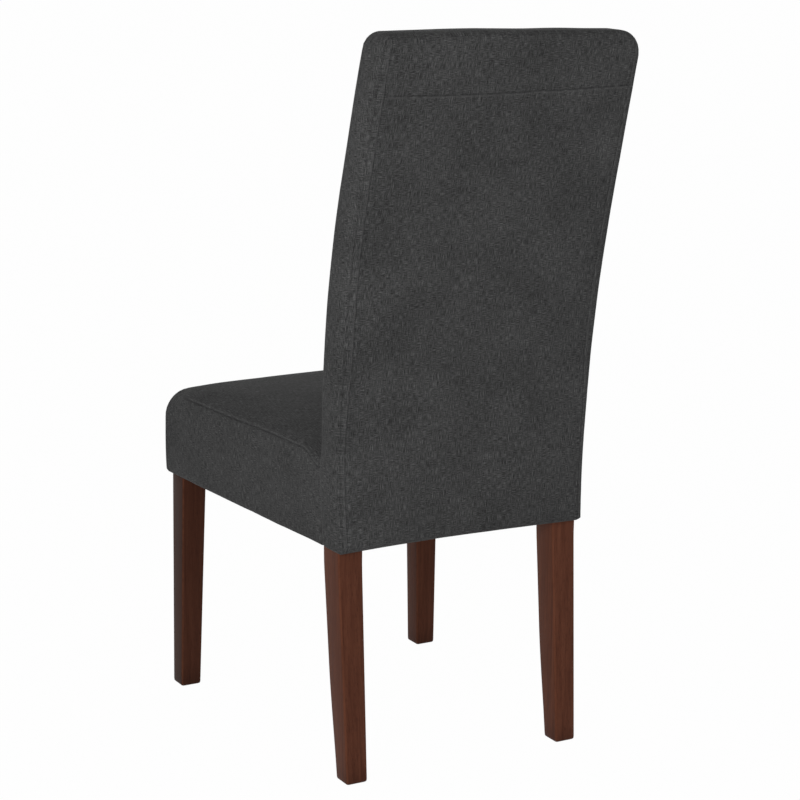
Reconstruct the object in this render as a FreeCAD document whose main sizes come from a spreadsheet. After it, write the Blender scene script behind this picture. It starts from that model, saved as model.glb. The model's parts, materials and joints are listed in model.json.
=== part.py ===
import FreeCAD, Part
import math
import os
import re
import Sketcher
from FreeCAD import Placement, Rotation, Vector

# An armless upholstered dining chair with a tall curved back, made piece by piece.
# The chair stands on z = 0 and faces -Y. +X is the sitter's left. y = 0 is half of its depth.
# Lengths are millimetres.

# Driving dimensions. Each is set on its own; everything else is worked out from them.
DIMENSIONS = {
    # Whole chair, and the hem of the cover
    "overall_height": 1016.0,
    "hem_height_front": 333.5,
    "hem_height_rear": 327.0,
    "hem_roll": 5.0,
    # Seat, measured over the cover
    "seat_width": 455.0,
    "seat_depth": 444.0,
    "seat_corner_radius": 20.0,
    "seat_seam_height": 453.0,
    "seat_edge_rise": 9.0,
    "seat_crown_rise": 22.0,
    "seat_front_roll": 24.0,
    "seat_tuck_drop": 18.0,
    "seat_tuck_length": 50.0,
    # Back, measured over the cover
    "back_width": 400.0,
    "back_hem_narrowing": 15.5,
    "back_widest_share": 0.6,
    "back_thickness": 57.0,
    "back_corner_radius": 15.5,
    "back_top_corner_radius": 30.0,
    "back_top_roll": 10.0,
    "back_seam_drop": 79.0,
    "back_side_wrap": 17.0,
    "back_front_wrap": 8.0,
    "lean_rise": 415.0,
    "lean_radius": 1500.0,
    # Rear posts
    "post_inset": 4.85,
    "post_width": 36.1,
    "post_depth": 36.1,
    "post_depth_top": 22.0,
    "post_shoulder_rise": 70.0,
    "rear_padding": 14.0,
    "top_padding": 16.0,
    "rear_leg_kick": 19.7,
    "rear_leg_kick_height": 300.0,
    "rear_foot_size": 30.4,
    "rear_foot_inset": 4.0,
    # Front legs
    "front_leg_inset": 9.55,
    "front_leg_size": 37.2,
    "front_foot_size": 30.3,
    "front_foot_splay": 1.8,
    "front_foot_reach": 2.7,
    "front_leg_setback": 16.3,
    # Feet
    "foot_chamfer": 2.0,
    "glide_height": 2.0,
    "glide_diameter": 20.0,
    # Seat rails and corner blocks
    "seat_padding": 53.0,
    "rail_thickness": 22.0,
    "rail_hem_clearance": 2.0,
    "block_reach": 66.0,
    "block_rise": 9.5,
    "block_drop": 15.0,
    # Back rails
    "back_rail_thickness": 18.0,
    "back_rail_width": 50.0,
    "back_lower_rail_rise": 90.0,
    "back_middle_rail_share": 0.36,
    "back_top_rail_drop": 56.0,
    # Tenons and screws
    "tenon_thickness": 8.0,
    "tenon_length": 18.0,
    "tenon_shoulder": 10.0,
    "hole_clearance": 0.1,
    "screw_diameter": 5.0,
    "screw_length": 46.0,
    "screw_head_diameter": 11.0,
    "screw_head_height": 3.0,
    "screw_entry": 6.0,
    # Webbing and its staples
    "strap_width": 50.0,
    "strap_thickness": 2.0,
    "strap_clearance": 0.3,
    "strap_land": 17.0,
    "strap_ramp": 14.0,
    "cross_strap_pitch": 108.0,
    "long_strap_pitch": 92.0,
    "staple_width": 24.0,
    "staple_wire": 1.0,
    "staple_leg": 8.0,
    # Padding and cover
    "cover_thickness": 1.2,
    "wadding_thickness": 2.6,
    "layer_clearance": 0.3,
    "insulator_thickness": 1.5,
    "back_board_thickness": 2.0,
    "cover_flange": 20.0,
    "dust_cover_thickness": 0.8,
    "dust_cover_inset": 12.0,
    "back_cover_tuck_rise": 18.0,
}

# Sizes worked out from the driving dimensions, as spreadsheet formulas, in order.
WORKED_OUT = {
    "rail_top_height": "seat_seam_height - seat_padding",
    "lean_start_height": "rail_top_height",
    "lean_end_height": "lean_start_height + lean_rise",
    "post_shoulder_height": "rail_top_height + post_shoulder_rise",
    "back_cover_tuck_height": "rail_top_height + back_cover_tuck_rise",
    "back_width_hem": "back_width - back_hem_narrowing",
    "back_widest_height": "hem_height_rear + back_widest_share * (overall_height - hem_height_rear)",
    "back_seam_height": "overall_height - back_seam_drop",
    "back_lower_rail_height": "rail_top_height + back_lower_rail_rise",
    "back_top_rail_height": "overall_height - back_top_rail_drop",
    "back_middle_rail_height": "back_lower_rail_height"
                               " + back_middle_rail_share * (back_top_rail_height - back_lower_rail_height)",
    "back_strap_height": "(back_middle_rail_height + back_top_rail_height) / 2",
    "back_strap_pitch": "(back_top_rail_height - back_middle_rail_height) / 4",
    "post_spacing": "back_width_hem - 2 * post_inset",
    "front_leg_spacing": "seat_width - 2 * front_leg_inset",
    "lean_at_end": "lean_radius - sqrt(lean_radius^2 - (lean_end_height - lean_start_height)^2)",
    "lean_slope": "(lean_end_height - lean_start_height) / (lean_radius - lean_at_end)",
    "lean_at_top": "lean_at_end + lean_slope * (overall_height - lean_end_height)",
    "top_edge_loss": "back_top_roll * (1 + lean_slope - sqrt(1 + lean_slope^2))",
    "overall_depth": "seat_depth + back_thickness + lean_at_top - top_edge_loss",
    "seat_front_y": "0 - overall_depth / 2",
    "back_front_y": "seat_front_y + seat_depth",
    "back_rear_y": "back_front_y + back_thickness",
    "post_rear_y": "back_rear_y - rear_padding",
    "post_front_y": "post_rear_y - post_depth",
    "post_top": "overall_height - top_padding",
    "post_outer_x": "post_spacing / 2",
    "post_inner_x": "post_outer_x - post_width",
    "lean_at_post_top": "lean_at_end + lean_slope * (post_top - lean_end_height)",
    "post_thinning": "post_depth - post_depth_top",
    "lean_at_shoulder": "lean_radius - sqrt(lean_radius^2 - (post_shoulder_height - lean_start_height)^2)",
    "kick_radius": "(rear_leg_kick^2 + rear_leg_kick_height^2) / (2 * rear_leg_kick)",
    "kick_at_foot": "kick_radius - sqrt(kick_radius^2 - (rear_leg_kick_height - glide_height)^2)",
    "front_kick": "rear_leg_kick + post_depth - rear_foot_size",
    "front_kick_radius": "(front_kick^2 + rear_leg_kick_height^2) / (2 * front_kick)",
    "front_kick_at_foot": "front_kick_radius"
                          " - sqrt(front_kick_radius^2 - (rear_leg_kick_height - glide_height)^2)",
    "rear_foot_inner_inset": "post_width - rear_foot_size - rear_foot_inset",
    "leg_outer_x": "front_leg_spacing / 2",
    "leg_inner_x": "leg_outer_x - front_leg_size",
    "leg_front_y": "seat_front_y + front_leg_setback",
    "leg_rear_y": "leg_front_y + front_leg_size",
    "foot_outer_x": "leg_outer_x + front_foot_splay",
    "foot_front_y": "leg_front_y - front_foot_reach",
    "rail_bottom_front": "hem_height_front + rail_hem_clearance",
    "rail_bottom_rear": "hem_height_rear + rail_hem_clearance",
    "side_rail_slope": "(leg_outer_x - post_outer_x) / (post_front_y - leg_rear_y)",
    "front_rail_rear_y": "leg_front_y + rail_thickness",
    "side_rail_inner_front_x": "leg_outer_x - rail_thickness",
    "side_rail_inner_rear_x": "post_outer_x - rail_thickness",
    "block_front_x": "leg_inner_x - block_reach",
    "block_front_run": "(side_rail_inner_front_x - side_rail_slope * (front_rail_rear_y - leg_rear_y)"
                       " - block_front_x) / (1 + side_rail_slope)",
    "block_rear_x": "side_rail_inner_rear_x - block_reach",
    "block_rear_run": "block_reach / (1 - side_rail_slope)",
    "block_bottom": "rail_bottom_front + block_rise",
    "block_height": "rail_top_height - block_drop - block_bottom",
    "block_middle": "block_bottom + block_height / 2",
    "rail_middle_front": "(rail_bottom_front + rail_top_height) / 2",
    "front_screw_start": "block_front_run / 2",
    "rear_screw_start": "(post_inner_x + screw_entry - block_rear_x) / 2",
    "strap_rise": "strap_thickness + strap_clearance",
    "strap_flat": "strap_width / 2 + strap_clearance",
    "insulator_bottom": "rail_top_height + strap_rise + strap_thickness + layer_clearance",
    "foam_bottom": "insulator_bottom + insulator_thickness + layer_clearance",
    "wadding_inset": "cover_thickness + layer_clearance",
    "foam_inset": "wadding_inset + wadding_thickness + layer_clearance",
    "back_board_front": "layer_clearance",
    "back_board_rear": "back_board_front + back_board_thickness",
}

SIDES = {"left": 1, "right": -1}
TENON_ROOT = "tenon_shoulder / 2"
FAR = 1000.0
MARGIN = 1.0
ROLL_STEPS = (0.0, 0.07, 0.27, 0.6, 1.0)
HEM_STEPS = (0.0, 0.3, 1.0)
CORNER_STEPS = 3
HEM_CORNER_STEPS = 2
BACK_STEPS = 8
SEAT_STEPS = 4
TUCK_STEPS = (0.7, 0.4, 0.15)
CROWN_POINTS = 9
CROWN_POWER = 4

document = FreeCAD.newDocument("parsons_chair")
sheet = document.addObject("Spreadsheet::Sheet", "Sizes")
nodes = []


def fill_sheet():
    cells = [(name, str(number)) for name, number in DIMENSIONS.items()]
    cells += [(name, "=" + text) for name, text in WORKED_OUT.items()]
    for row, (name, content) in enumerate(cells, start=1):
        sheet.set(f"A{row}", name)
        sheet.set(f"B{row}", content)
        sheet.setAlias(f"B{row}", name)
    document.recompute()


fill_sheet()
ALIASES = re.compile(r"\b(" + "|".join(list(DIMENSIONS) + list(WORKED_OUT)) + r")\b")


# Small tools

def size(name):
    return float(sheet.get(name))


def formula(text):
    """The text with each size's name pointed at the spreadsheet."""
    return ALIASES.sub(r"Sizes.\1", text)


def value(text):
    return float(sheet.evalExpression(formula(text)))


def add(kind, name):
    return document.addObject(kind, name)


def bind(thing, **properties):
    """Bind properties to sizes. Two underscores stand for a dot in a property's path."""
    for name, text in properties.items():
        path = name.replace("__", ".")
        thing.setExpression("." + path if "." in path else path, formula(text))


def place(thing, across="0", along="0", up="0"):
    bind(thing, Placement__Base__x=across, Placement__Base__y=along, Placement__Base__z=up)


def keep(thing, label):
    """Name a finished piece."""
    thing.Label = label
    nodes.append(thing)
    return thing


def keep_shape(shape, label):
    """A piece of soft goods, whose form no primitive fits."""
    feature = add("Part::Feature", label)
    feature.Shape = shape
    feature.Placement = Placement()
    return keep(feature, label)


def compound(name, links):
    group = add("Part::Compound", name)
    group.Links = links
    return group


def cut(name, base, tool):
    result = add("Part::Cut", name)
    result.Base = base
    result.Tool = tool
    return result


def fuse(name, *things):
    result = add("Part::MultiFuse", name)
    result.Shapes = list(things)
    return result


def outline(body, name, role, corners, offset="0"):
    """A closed sketch on one of the body's origin planes.

    Each corner is (across, up) or (across, up, radius, bulge): the edge that leaves that corner is
    then an arc of that radius, which stands to the left (+1) or right (-1) of its chord. Every
    corner's place and every radius is bound to the spreadsheet.
    """
    sketch = body.newObject("Sketcher::SketchObject", name)
    plane = next(item for item in body.Origin.OriginFeatures if item.Role == role)
    sketch.AttachmentSupport = [(plane, "")]
    sketch.MapMode = "FlatFace"
    bind(sketch, AttachmentOffset__Base__z=offset)
    points = [Vector(value(corner[0]), value(corner[1]), 0) for corner in corners]
    for index, corner in enumerate(corners):
        start = points[index]
        end = points[(index + 1) % len(points)]
        edge = Part.LineSegment(start, end)
        if len(corner) > 2:
            chord = end - start
            radius = value(corner[2])
            rise = radius - math.sqrt(radius ** 2 - (chord.Length / 2) ** 2)
            left = Vector(-chord.y, chord.x, 0).normalize()
            edge = Part.Arc(start, (start + end) / 2 + left * rise * corner[3], end)
        sketch.addGeometry(edge, False)

    def end_at(edge, point):
        return 1 if (sketch.getPoint(edge, 1) - point).Length < 1e-6 else 2

    def hold(constraint, text):
        number = sketch.addConstraint(constraint)
        sketch.setExpression(f"Constraints[{number}]", formula(text))

    for index, corner in enumerate(corners):
        following = (index + 1) % len(corners)
        here = end_at(index, points[index])
        there = end_at(following, points[following])
        sketch.addConstraint(Sketcher.Constraint("Coincident", index, 3 - here, following, there))
        hold(Sketcher.Constraint("DistanceX", -1, 1, index, here, points[index].x), corner[0])
        hold(Sketcher.Constraint("DistanceY", -1, 1, index, here, points[index].y), corner[1])
        if len(corner) > 2:
            hold(Sketcher.Constraint("Radius", index, value(corner[2])), corner[2])
    return sketch


def rectangle(left, right, low, high):
    return [(left, low), (right, low), (right, high), (left, high)]


def body_named(name):
    return add("PartDesign::Body", name)


def pad(body, sketch, length, symmetric=False):
    feature = body.newObject("PartDesign::Pad", body.Name + "_pad")
    feature.Profile = sketch
    feature.SideType = "Symmetric" if symmetric else "One side"
    bind(feature, Length=length)
    return feature


def loft(body, first, last):
    feature = body.newObject("PartDesign::AdditiveLoft", body.Name + "_loft")
    feature.Profile = first
    feature.Sections = [last]
    feature.Ruled = True
    return feature


def block(name, left, right, front, rear, low, high):
    """A plain box between six bound faces, used for holes and cuts."""
    box = add("Part::Box", name)
    bind(box, Length=f"({right}) - ({left})", Width=f"({rear}) - ({front})", Height=f"({high}) - ({low})")
    place(box, left, front, low)
    return box


def cylinder(name, diameter, length, direction, start):
    """A bound cylinder that starts at a bound point and runs along a fixed direction."""
    rod = add("Part::Cylinder", name)
    bind(rod, Radius=f"({diameter}) / 2", Height=length)
    rod.Placement = Placement(Vector(), Rotation(Vector(0, 0, 1), direction))
    place(rod, *start)
    return rod


def lean(height):
    """How far the back has leaned rearwards at a height, as a formula."""
    return (
        f"(({height}) <= lean_start_height ? 0 : (({height}) < lean_end_height"
        f" ? lean_radius - sqrt(lean_radius^2 - (({height}) - lean_start_height)^2)"
        f" : lean_at_end + lean_slope * (({height}) - lean_end_height)))"
    )


def front_lean(height):
    """The same for the front face of the posts, which thin at a shoulder above the seat rails."""
    return (
        f"(({height}) <= lean_start_height ? 0 : (({height}) < post_shoulder_height"
        f" ? (lean_at_shoulder + post_thinning) * (({height}) - lean_start_height)"
        f" / (post_shoulder_height - lean_start_height) : {lean(height)} + post_thinning))"
    )


def lean_angle(height):
    return (
        f"(({height}) < lean_end_height"
        f" ? asin((({height}) - lean_start_height) / lean_radius) : atan(lean_slope))"
    )


# Feet

def chamfer_foot(name, base):
    """Break the four lowest edges of a leg."""
    document.recompute()
    lowest = size("glide_height")
    edges = [number for number, edge in enumerate(base.Shape.Edges, start=1)
             if abs(edge.BoundBox.ZMin - lowest) < 1e-4 and edge.BoundBox.ZLength < 1e-4
             and isinstance(edge.Curve, Part.Line)]
    chamfered = add("Part::Chamfer", name)
    chamfered.Base = base
    chamfered.Edges = [(number, size("foot_chamfer"), size("foot_chamfer")) for number in edges]
    return chamfered


# Front legs: square above the hem, tapered below it

def make_front_leg(side):
    sign = SIDES[side]
    body = body_named(f"front_{side}_leg_blank")

    def square(name, outer, front, width, height):
        inner = f"{sign} * (({outer}) - ({width}))"
        return outline(body, f"{name}_{side}", "XY_Plane",
                       rectangle(f"{sign} * ({outer})", inner, front, f"({front}) + ({width})"), height)

    foot = square("front_foot", "foot_outer_x", "foot_front_y", "front_foot_size", "glide_height")
    hem = square("front_hem", "leg_outer_x", "leg_front_y", "front_leg_size", "hem_height_front")
    loft(body, foot, hem)
    pad(body, square("front_post", "leg_outer_x", "leg_front_y", "front_leg_size", "hem_height_front"),
        "rail_top_height - hem_height_front")
    return chamfer_foot(f"front_{side}_leg_chamfered", body)


# Rear posts: a side profile and a front outline, each padded, have the post in common

def make_rear_post(side):
    sign = SIDES[side]
    profile_body = body_named(f"rear_{side}_post_profile")
    profile = outline(profile_body, f"post_profile_{side}", "YZ_Plane", [
        ("post_rear_y + kick_at_foot", "glide_height", "kick_radius", 1),
        ("post_rear_y", "rear_leg_kick_height"),
        ("post_rear_y", "lean_start_height", "lean_radius", 1),
        ("post_rear_y + lean_at_end", "lean_end_height"),
        ("post_rear_y + lean_at_post_top", "post_top"),
        ("post_rear_y + lean_at_post_top - post_depth_top", "post_top"),
        ("post_rear_y + lean_at_end - post_depth_top", "lean_end_height", "lean_radius", -1),
        ("post_rear_y + lean_at_shoulder - post_depth_top", "post_shoulder_height"),
        ("post_front_y", "lean_start_height"),
        ("post_front_y", "rear_leg_kick_height", "front_kick_radius", -1),
        ("post_front_y + front_kick_at_foot", "glide_height"),
    ])
    pad(profile_body, profile, "post_spacing", symmetric=True)
    front_body = body_named(f"rear_{side}_post_front")
    front = outline(front_body, f"post_front_{side}", "XZ_Plane", [
        (f"{sign} * (post_inner_x + rear_foot_inner_inset)", "glide_height"),
        (f"{sign} * (post_outer_x - rear_foot_inset)", "glide_height"),
        (f"{sign} * post_outer_x", "hem_height_rear"),
        (f"{sign} * post_outer_x", "post_top"),
        (f"{sign} * post_inner_x", "post_top"),
        (f"{sign} * post_inner_x", "hem_height_rear"),
    ])
    pad(front_body, front, "overall_depth", symmetric=True)
    post = add("Part::Common", f"rear_{side}_post_blank")
    post.Base = profile_body
    post.Tool = front_body
    return chamfer_foot(f"rear_{side}_post_chamfered", post)


# Seat rails, each with a stub tenon at both ends

def make_end_rail(name, half_length, front, bottom):
    """The front or rear rail, and the space its tenons need in the legs."""
    body = body_named(name + "_blank")
    plan = outline(body, name + "_plan", "XY_Plane",
                   rectangle(f"0 - {half_length}", half_length, front, f"{front} + rail_thickness"), bottom)
    pad(body, plan, f"rail_top_height - {bottom}")
    shoulder = "(rail_thickness - tenon_thickness) / 2"

    def tenons(kind, gap):
        reach = f"({half_length} + tenon_length + {gap})"
        return block(f"{name}_{kind}", f"0 - {reach}", reach,
                     f"{front} + {shoulder} - {gap}", f"{front} + rail_thickness - {shoulder} + {gap}",
                     f"{bottom} + tenon_shoulder - {gap}", f"rail_top_height - tenon_shoulder + {gap}")

    return fuse(name + "_tenoned", body, tenons("tenons", "0")), tenons("mortises", "hole_clearance")


def make_side_rail(side):
    """Tapers in plan and in depth, from the front leg to the rear post."""
    sign = SIDES[side]
    body = body_named(f"{side}_rail_blank")
    ends = (("front", "leg_outer_x", "rail_bottom_front", "leg_rear_y", -1),
            ("rear", "post_outer_x", "rail_bottom_rear", "post_front_y", 1))
    sketches = []
    for end, outer, bottom, along, _ in ends:
        inner = f"{sign} * ({outer} - rail_thickness)"
        corners = rectangle(f"{sign} * {outer}", inner, bottom, "rail_top_height")
        sketches.append(outline(body, f"rail_{end}_end_{side}", "XZ_Plane", corners, f"0 - {along}"))
    loft(body, *sketches)

    def tenons(kind, gap):
        made = []
        for end, outer, bottom, along, towards in ends:
            middle = f"{sign} * ({outer} - rail_thickness / 2)"
            half = f"(tenon_thickness / 2 + {gap})"
            faces = (f"{along} - {towards} * {TENON_ROOT}", f"{along} + {towards} * (tenon_length + {gap})")
            near, far = faces if towards > 0 else faces[::-1]
            made.append(block(f"{side}_rail_{end}_{kind}", f"{middle} - {half}", f"{middle} + {half}",
                              near, far, f"{bottom} + tenon_shoulder - {gap}",
                              f"rail_top_height - tenon_shoulder + {gap}"))
        return made

    return fuse(f"{side}_rail_tenoned", body, *tenons("tenon", "0")), tenons("mortise", "hole_clearance")


# Corner blocks, each notched round what stands in its corner

def make_corner_block(place_name, side):
    sign = SIDES[side]
    body = body_named(f"corner_block_{place_name}_{side}_blank")
    front_plan = [
        (f"{sign} * block_front_x", "front_rail_rear_y"),
        (f"{sign} * leg_inner_x", "front_rail_rear_y"),
        (f"{sign} * leg_inner_x", "leg_rear_y"),
        (f"{sign} * side_rail_inner_front_x", "leg_rear_y"),
        (f"{sign} * (block_front_x + block_front_run)", "front_rail_rear_y + block_front_run"),
    ]
    rear_plan = [
        (f"{sign} * block_rear_x", "post_front_y"),
        (f"{sign} * side_rail_inner_rear_x", "post_front_y"),
        (f"{sign} * (block_rear_x + block_rear_run)", "post_front_y - block_rear_run"),
    ]
    plan = front_plan if place_name == "front" else rear_plan
    sketch = outline(body, f"block_{place_name}_{side}", "XY_Plane", plan, "block_bottom")
    pad(body, sketch, "block_height")
    return body


def make_screw_master():
    """A flat-headed wood screw along +Z, its head under z = 0."""
    body = body_named("screw_master")
    profile = outline(body, "screw_profile", "XZ_Plane", [
        ("0", "0 - screw_head_height"),
        ("screw_head_diameter / 2", "0 - screw_head_height"),
        ("screw_head_diameter / 2", "0"),
        ("screw_diameter / 2", "0"),
        ("screw_diameter / 2", "screw_length"),
        ("0", "screw_length"),
    ])
    turned = body.newObject("PartDesign::Revolution", "screw_turned")
    turned.Profile = profile
    turned.ReferenceAxis = (profile, ["V_Axis"])
    turned.Angle = 360
    return body


def screw_sites():
    """Name, start point and direction of each corner block screw."""
    sites = []
    for end, corner, edge, shift, lengthwise in (
            ("front", "block_front_x", "front_rail_rear_y", "front_screw_start", -1),
            ("rear", "block_rear_x", "post_front_y", "rear_screw_start", 1)):
        for side, sign in SIDES.items():
            point = (f"{sign} * ({corner} + {shift})", f"{edge} - {lengthwise} * {shift}", "block_middle")
            sites.append((f"{end}_{side}", point, Vector(sign, lengthwise, 0)))
    return sites


# Back rails, tenoned like the seat rails

def rail_middle_y(height):
    """The middle of the posts' depth at a height."""
    return f"(post_rear_y + {lean(height)} + post_front_y + {front_lean(height)}) / 2"


def tilt_with_back(thing, height, along):
    """Turn a piece drawn round its own centre to the lean of the back, and set it in place."""
    thing.Placement = Placement(Vector(), Rotation(Vector(-1, 0, 0), 1))
    bind(thing, Placement__Rotation__Angle=lean_angle(height))
    place(thing, "0", along, height)


def make_back_bar(name, height, half_length, thickness, width):
    """A bar across the back, tilted to the lean at its height."""
    body = body_named(name)
    section = outline(body, name + "_section", "YZ_Plane",
                      rectangle(f"0 - ({thickness}) / 2", f"({thickness}) / 2",
                                f"0 - ({width}) / 2", f"({width}) / 2"))
    pad(body, section, f"2 * ({half_length})", symmetric=True)
    tilt_with_back(body, height, rail_middle_y(height))
    return body


def make_back_rail(rail):
    """A back rail, and the space its tenons need in the posts."""
    height = f"back_{rail}_rail_height"
    name = f"back_{rail}_rail"

    def tenons(kind, gap):
        return make_back_bar(f"{name}_{kind}", height, f"post_inner_x + tenon_length + {gap}",
                             f"tenon_thickness + 2 * {gap}",
                             f"back_rail_width - 2 * tenon_shoulder + 2 * {gap}")

    bar = make_back_bar(name + "_blank", height, "post_inner_x", "back_rail_thickness", "back_rail_width")
    return fuse(name + "_tenoned", bar, tenons("tenons", "0")), tenons("mortises", "hole_clearance")


# Webbing: straps woven over and under each other, stapled to the rails

def woven_profile(start, end, crossings):
    """The side view of a strap from start to end. Each crossing is (position, rises)."""
    low, high = "rail_top_height", "rail_top_height + strap_rise"
    lower = [(start, low)]
    for position, rises in crossings:
        if rises:
            lower += [
                (f"{position} - strap_flat - strap_ramp", low),
                (f"{position} - strap_flat", high),
                (f"{position} + strap_flat", high),
                (f"{position} + strap_flat + strap_ramp", low),
            ]
    lower.append((end, low))
    upper = [(across, up + " + strap_thickness") for across, up in reversed(lower)]
    return lower + upper


def cross_strap_y(number):
    return f"((front_rail_rear_y + post_front_y) / 2 + ({number - 1}) * cross_strap_pitch)"


def long_strap_x(number):
    return f"({1 - number} * long_strap_pitch)"


def cross_strap_end(number):
    """Where a cross strap ends on its side rails."""
    run = f"({cross_strap_y(number)} + strap_width / 2 - leg_rear_y)"
    return f"(side_rail_inner_front_x - side_rail_slope * {run} + strap_land)"


def make_cross_strap(number):
    body = body_named(f"cross_strap_{number}_body")
    end = cross_strap_end(number)
    crossings = [(long_strap_x(column), (number + column) % 2 == 1) for column in (2, 1, 0)]
    profile = outline(body, f"cross_strap_{number}_profile", "XZ_Plane",
                      woven_profile(f"0 - {end}", end, crossings), f"0 - {cross_strap_y(number)}")
    pad(body, profile, "strap_width", symmetric=True)
    return body


def make_long_strap(number):
    body = body_named(f"long_strap_{number}_body")
    crossings = [(cross_strap_y(row), (number + row) % 2 == 0) for row in range(3)]
    profile = outline(body, f"long_strap_{number}_profile", "YZ_Plane",
                      woven_profile("front_rail_rear_y - strap_land", "post_front_y + strap_land",
                                    crossings), long_strap_x(number))
    pad(body, profile, "strap_width", symmetric=True)
    return body


def back_strap_height(number):
    return f"(back_strap_height + ({number - 1}) * back_strap_pitch)"


def make_back_strap(number):
    height = back_strap_height(number)
    body = body_named(f"back_strap_{number}_body")
    section = outline(body, f"back_strap_{number}_section", "YZ_Plane",
                      rectangle("0 - strap_clearance - strap_thickness", "0 - strap_clearance",
                                "0 - strap_width / 2", "strap_width / 2"))
    pad(body, section, "2 * (post_inner_x + strap_land)", symmetric=True)
    tilt_with_back(body, height, f"post_front_y + {front_lean(height)}")
    return body


def make_staple_master():
    """A staple whose crown runs along X on z = 0 and whose legs point down."""
    body = body_named("staple_master")
    profile = outline(body, "staple_profile", "XZ_Plane", [
        ("0 - staple_width / 2", "staple_wire"),
        ("0 - staple_width / 2", "0 - staple_leg"),
        ("staple_wire - staple_width / 2", "0 - staple_leg"),
        ("staple_wire - staple_width / 2", "0"),
        ("staple_width / 2 - staple_wire", "0"),
        ("staple_width / 2 - staple_wire", "0 - staple_leg"),
        ("staple_width / 2", "0 - staple_leg"),
        ("staple_width / 2", "staple_wire"),
    ])
    pad(body, profile, "staple_wire", symmetric=True)
    return body


def copy_of(master, name, rotation, start):
    link = add("App::Link", name)
    link.LinkedObject = master
    link.Placement = Placement(Vector(), rotation)
    place(link, *start)
    return link


def make_staples(master):
    top = "rail_top_height + strap_thickness"
    quarter_turn = Rotation(Vector(0, 0, 1), 90)
    staples = []
    for number in range(3):
        for side, sign in SIDES.items():
            across = f"{sign} * ({cross_strap_end(number)} - strap_land / 2)"
            staples.append(copy_of(master, f"staple_cross_{number}_{side}", quarter_turn,
                                   (across, cross_strap_y(number), top)))
        for end, along in (("front", "front_rail_rear_y - strap_land / 2"),
                           ("rear", "post_front_y + strap_land / 2")):
            staples.append(copy_of(master, f"staple_long_{number}_{end}", Rotation(),
                                   (long_strap_x(number), along, top)))
    return compound("webbing_staples_group", staples)


# Forms of the covered back and seat, each at any depth below the cover's surface

def roll(distance, radius):
    """How far a rounded edge falls away at a distance from the face it ends in."""
    short = max(radius - distance, 0.0)
    return radius - math.sqrt(max(radius ** 2 - short ** 2, 0.0))


def quarter_circle(centre, radius, quarter, steps):
    """Points along a quarter of a circle. Quarter 0 starts on the positive first axis."""
    angles = [math.pi / 2 * (quarter + step / steps) for step in range(steps + 1)]
    return [(centre[0] + radius * math.cos(angle), centre[1] + radius * math.sin(angle))
            for angle in angles]


def back_rear(height):
    return value(f"back_rear_y + {lean(str(height))}")


def back_half_width(height):
    narrowing = (size("back_width") - size("back_width_hem")) / 2
    span = size("back_widest_height") - size("hem_height_rear")
    return size("back_width") / 2 - narrowing * ((height - size("back_widest_height")) / span) ** 2


def back_section(height, bottom, inset):
    """A level slice through the back: a rounded rectangle."""
    top = size("overall_height") - inset
    corner_roll = roll(top - height, size("back_top_corner_radius") - inset)
    face_roll = roll(top - height, size("back_top_roll") - inset)
    hem = roll(height - bottom, size("hem_roll")) if bottom >= size("hem_height_rear") else 0.0
    half = back_half_width(height) - inset - corner_roll - hem
    rear = back_rear(height) - inset - face_roll - hem
    front = back_rear(height) - size("back_thickness") + inset + face_roll
    radius = min(size("back_corner_radius") - inset, (rear - front) / 2 - MARGIN)
    centres = [(half - radius, rear - radius), (radius - half, rear - radius),
               (radius - half, front + radius), (half - radius, front + radius)]
    points = []
    for quarter, centre in enumerate(centres):
        points += [Vector(x, y, height) for x, y in quarter_circle(centre, radius, quarter, CORNER_STEPS)]
    return Part.makePolygon(points + points[:1])


def back_levels():
    """The levels between hem and top corners that every layer of the back is built on."""
    low = size("hem_height_rear") + size("hem_roll") + size("foam_inset")
    high = size("overall_height") - size("back_top_corner_radius")
    return [low + (high - low) * step / BACK_STEPS for step in range(BACK_STEPS + 1)]


def back_form(inset, bottom):
    """The back as a solid, from a height up, drawn in from the cover's surface by the inset."""
    top = size("overall_height") - inset
    rounded = size("back_top_corner_radius") - inset
    heights = [bottom + size("hem_roll") * step for step in HEM_STEPS] + back_levels()
    heights += [top - rounded * step for step in reversed(ROLL_STEPS[:-1])]
    return Part.makeLoft([back_section(height, bottom, inset) for height in heights], True, True)


def seat_half_width(along):
    share = (along - size("seat_front_y")) / size("seat_depth")
    half_rear = back_half_width(size("hem_height_rear"))
    return size("seat_width") / 2 + (half_rear - size("seat_width") / 2) * share


def seat_hem(along):
    share = (along - size("seat_front_y")) / size("seat_depth")
    return size("hem_height_front") + (size("hem_height_rear") - size("hem_height_front")) * share


def seat_tuck(along):
    """How far the seat is pulled down where it meets the back."""
    near = max(1 - (size("back_front_y") - along) / size("seat_tuck_length"), 0.0)
    return size("seat_tuck_drop") * min(near, 1.0) ** 2


def seat_seam(along):
    distance = along - size("seat_front_y")
    return size("seat_seam_height") - roll(distance, size("seat_front_roll")) - seat_tuck(along)


def seat_rise(along):
    """How far the middle of the seat stands above its side seams."""
    share = min(max((along - size("seat_front_y")) / size("seat_depth"), 0.0), 1.0)
    return size("seat_edge_rise") + (size("seat_crown_rise") - size("seat_edge_rise")) * math.sin(
        math.pi * share) ** 0.8


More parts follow.
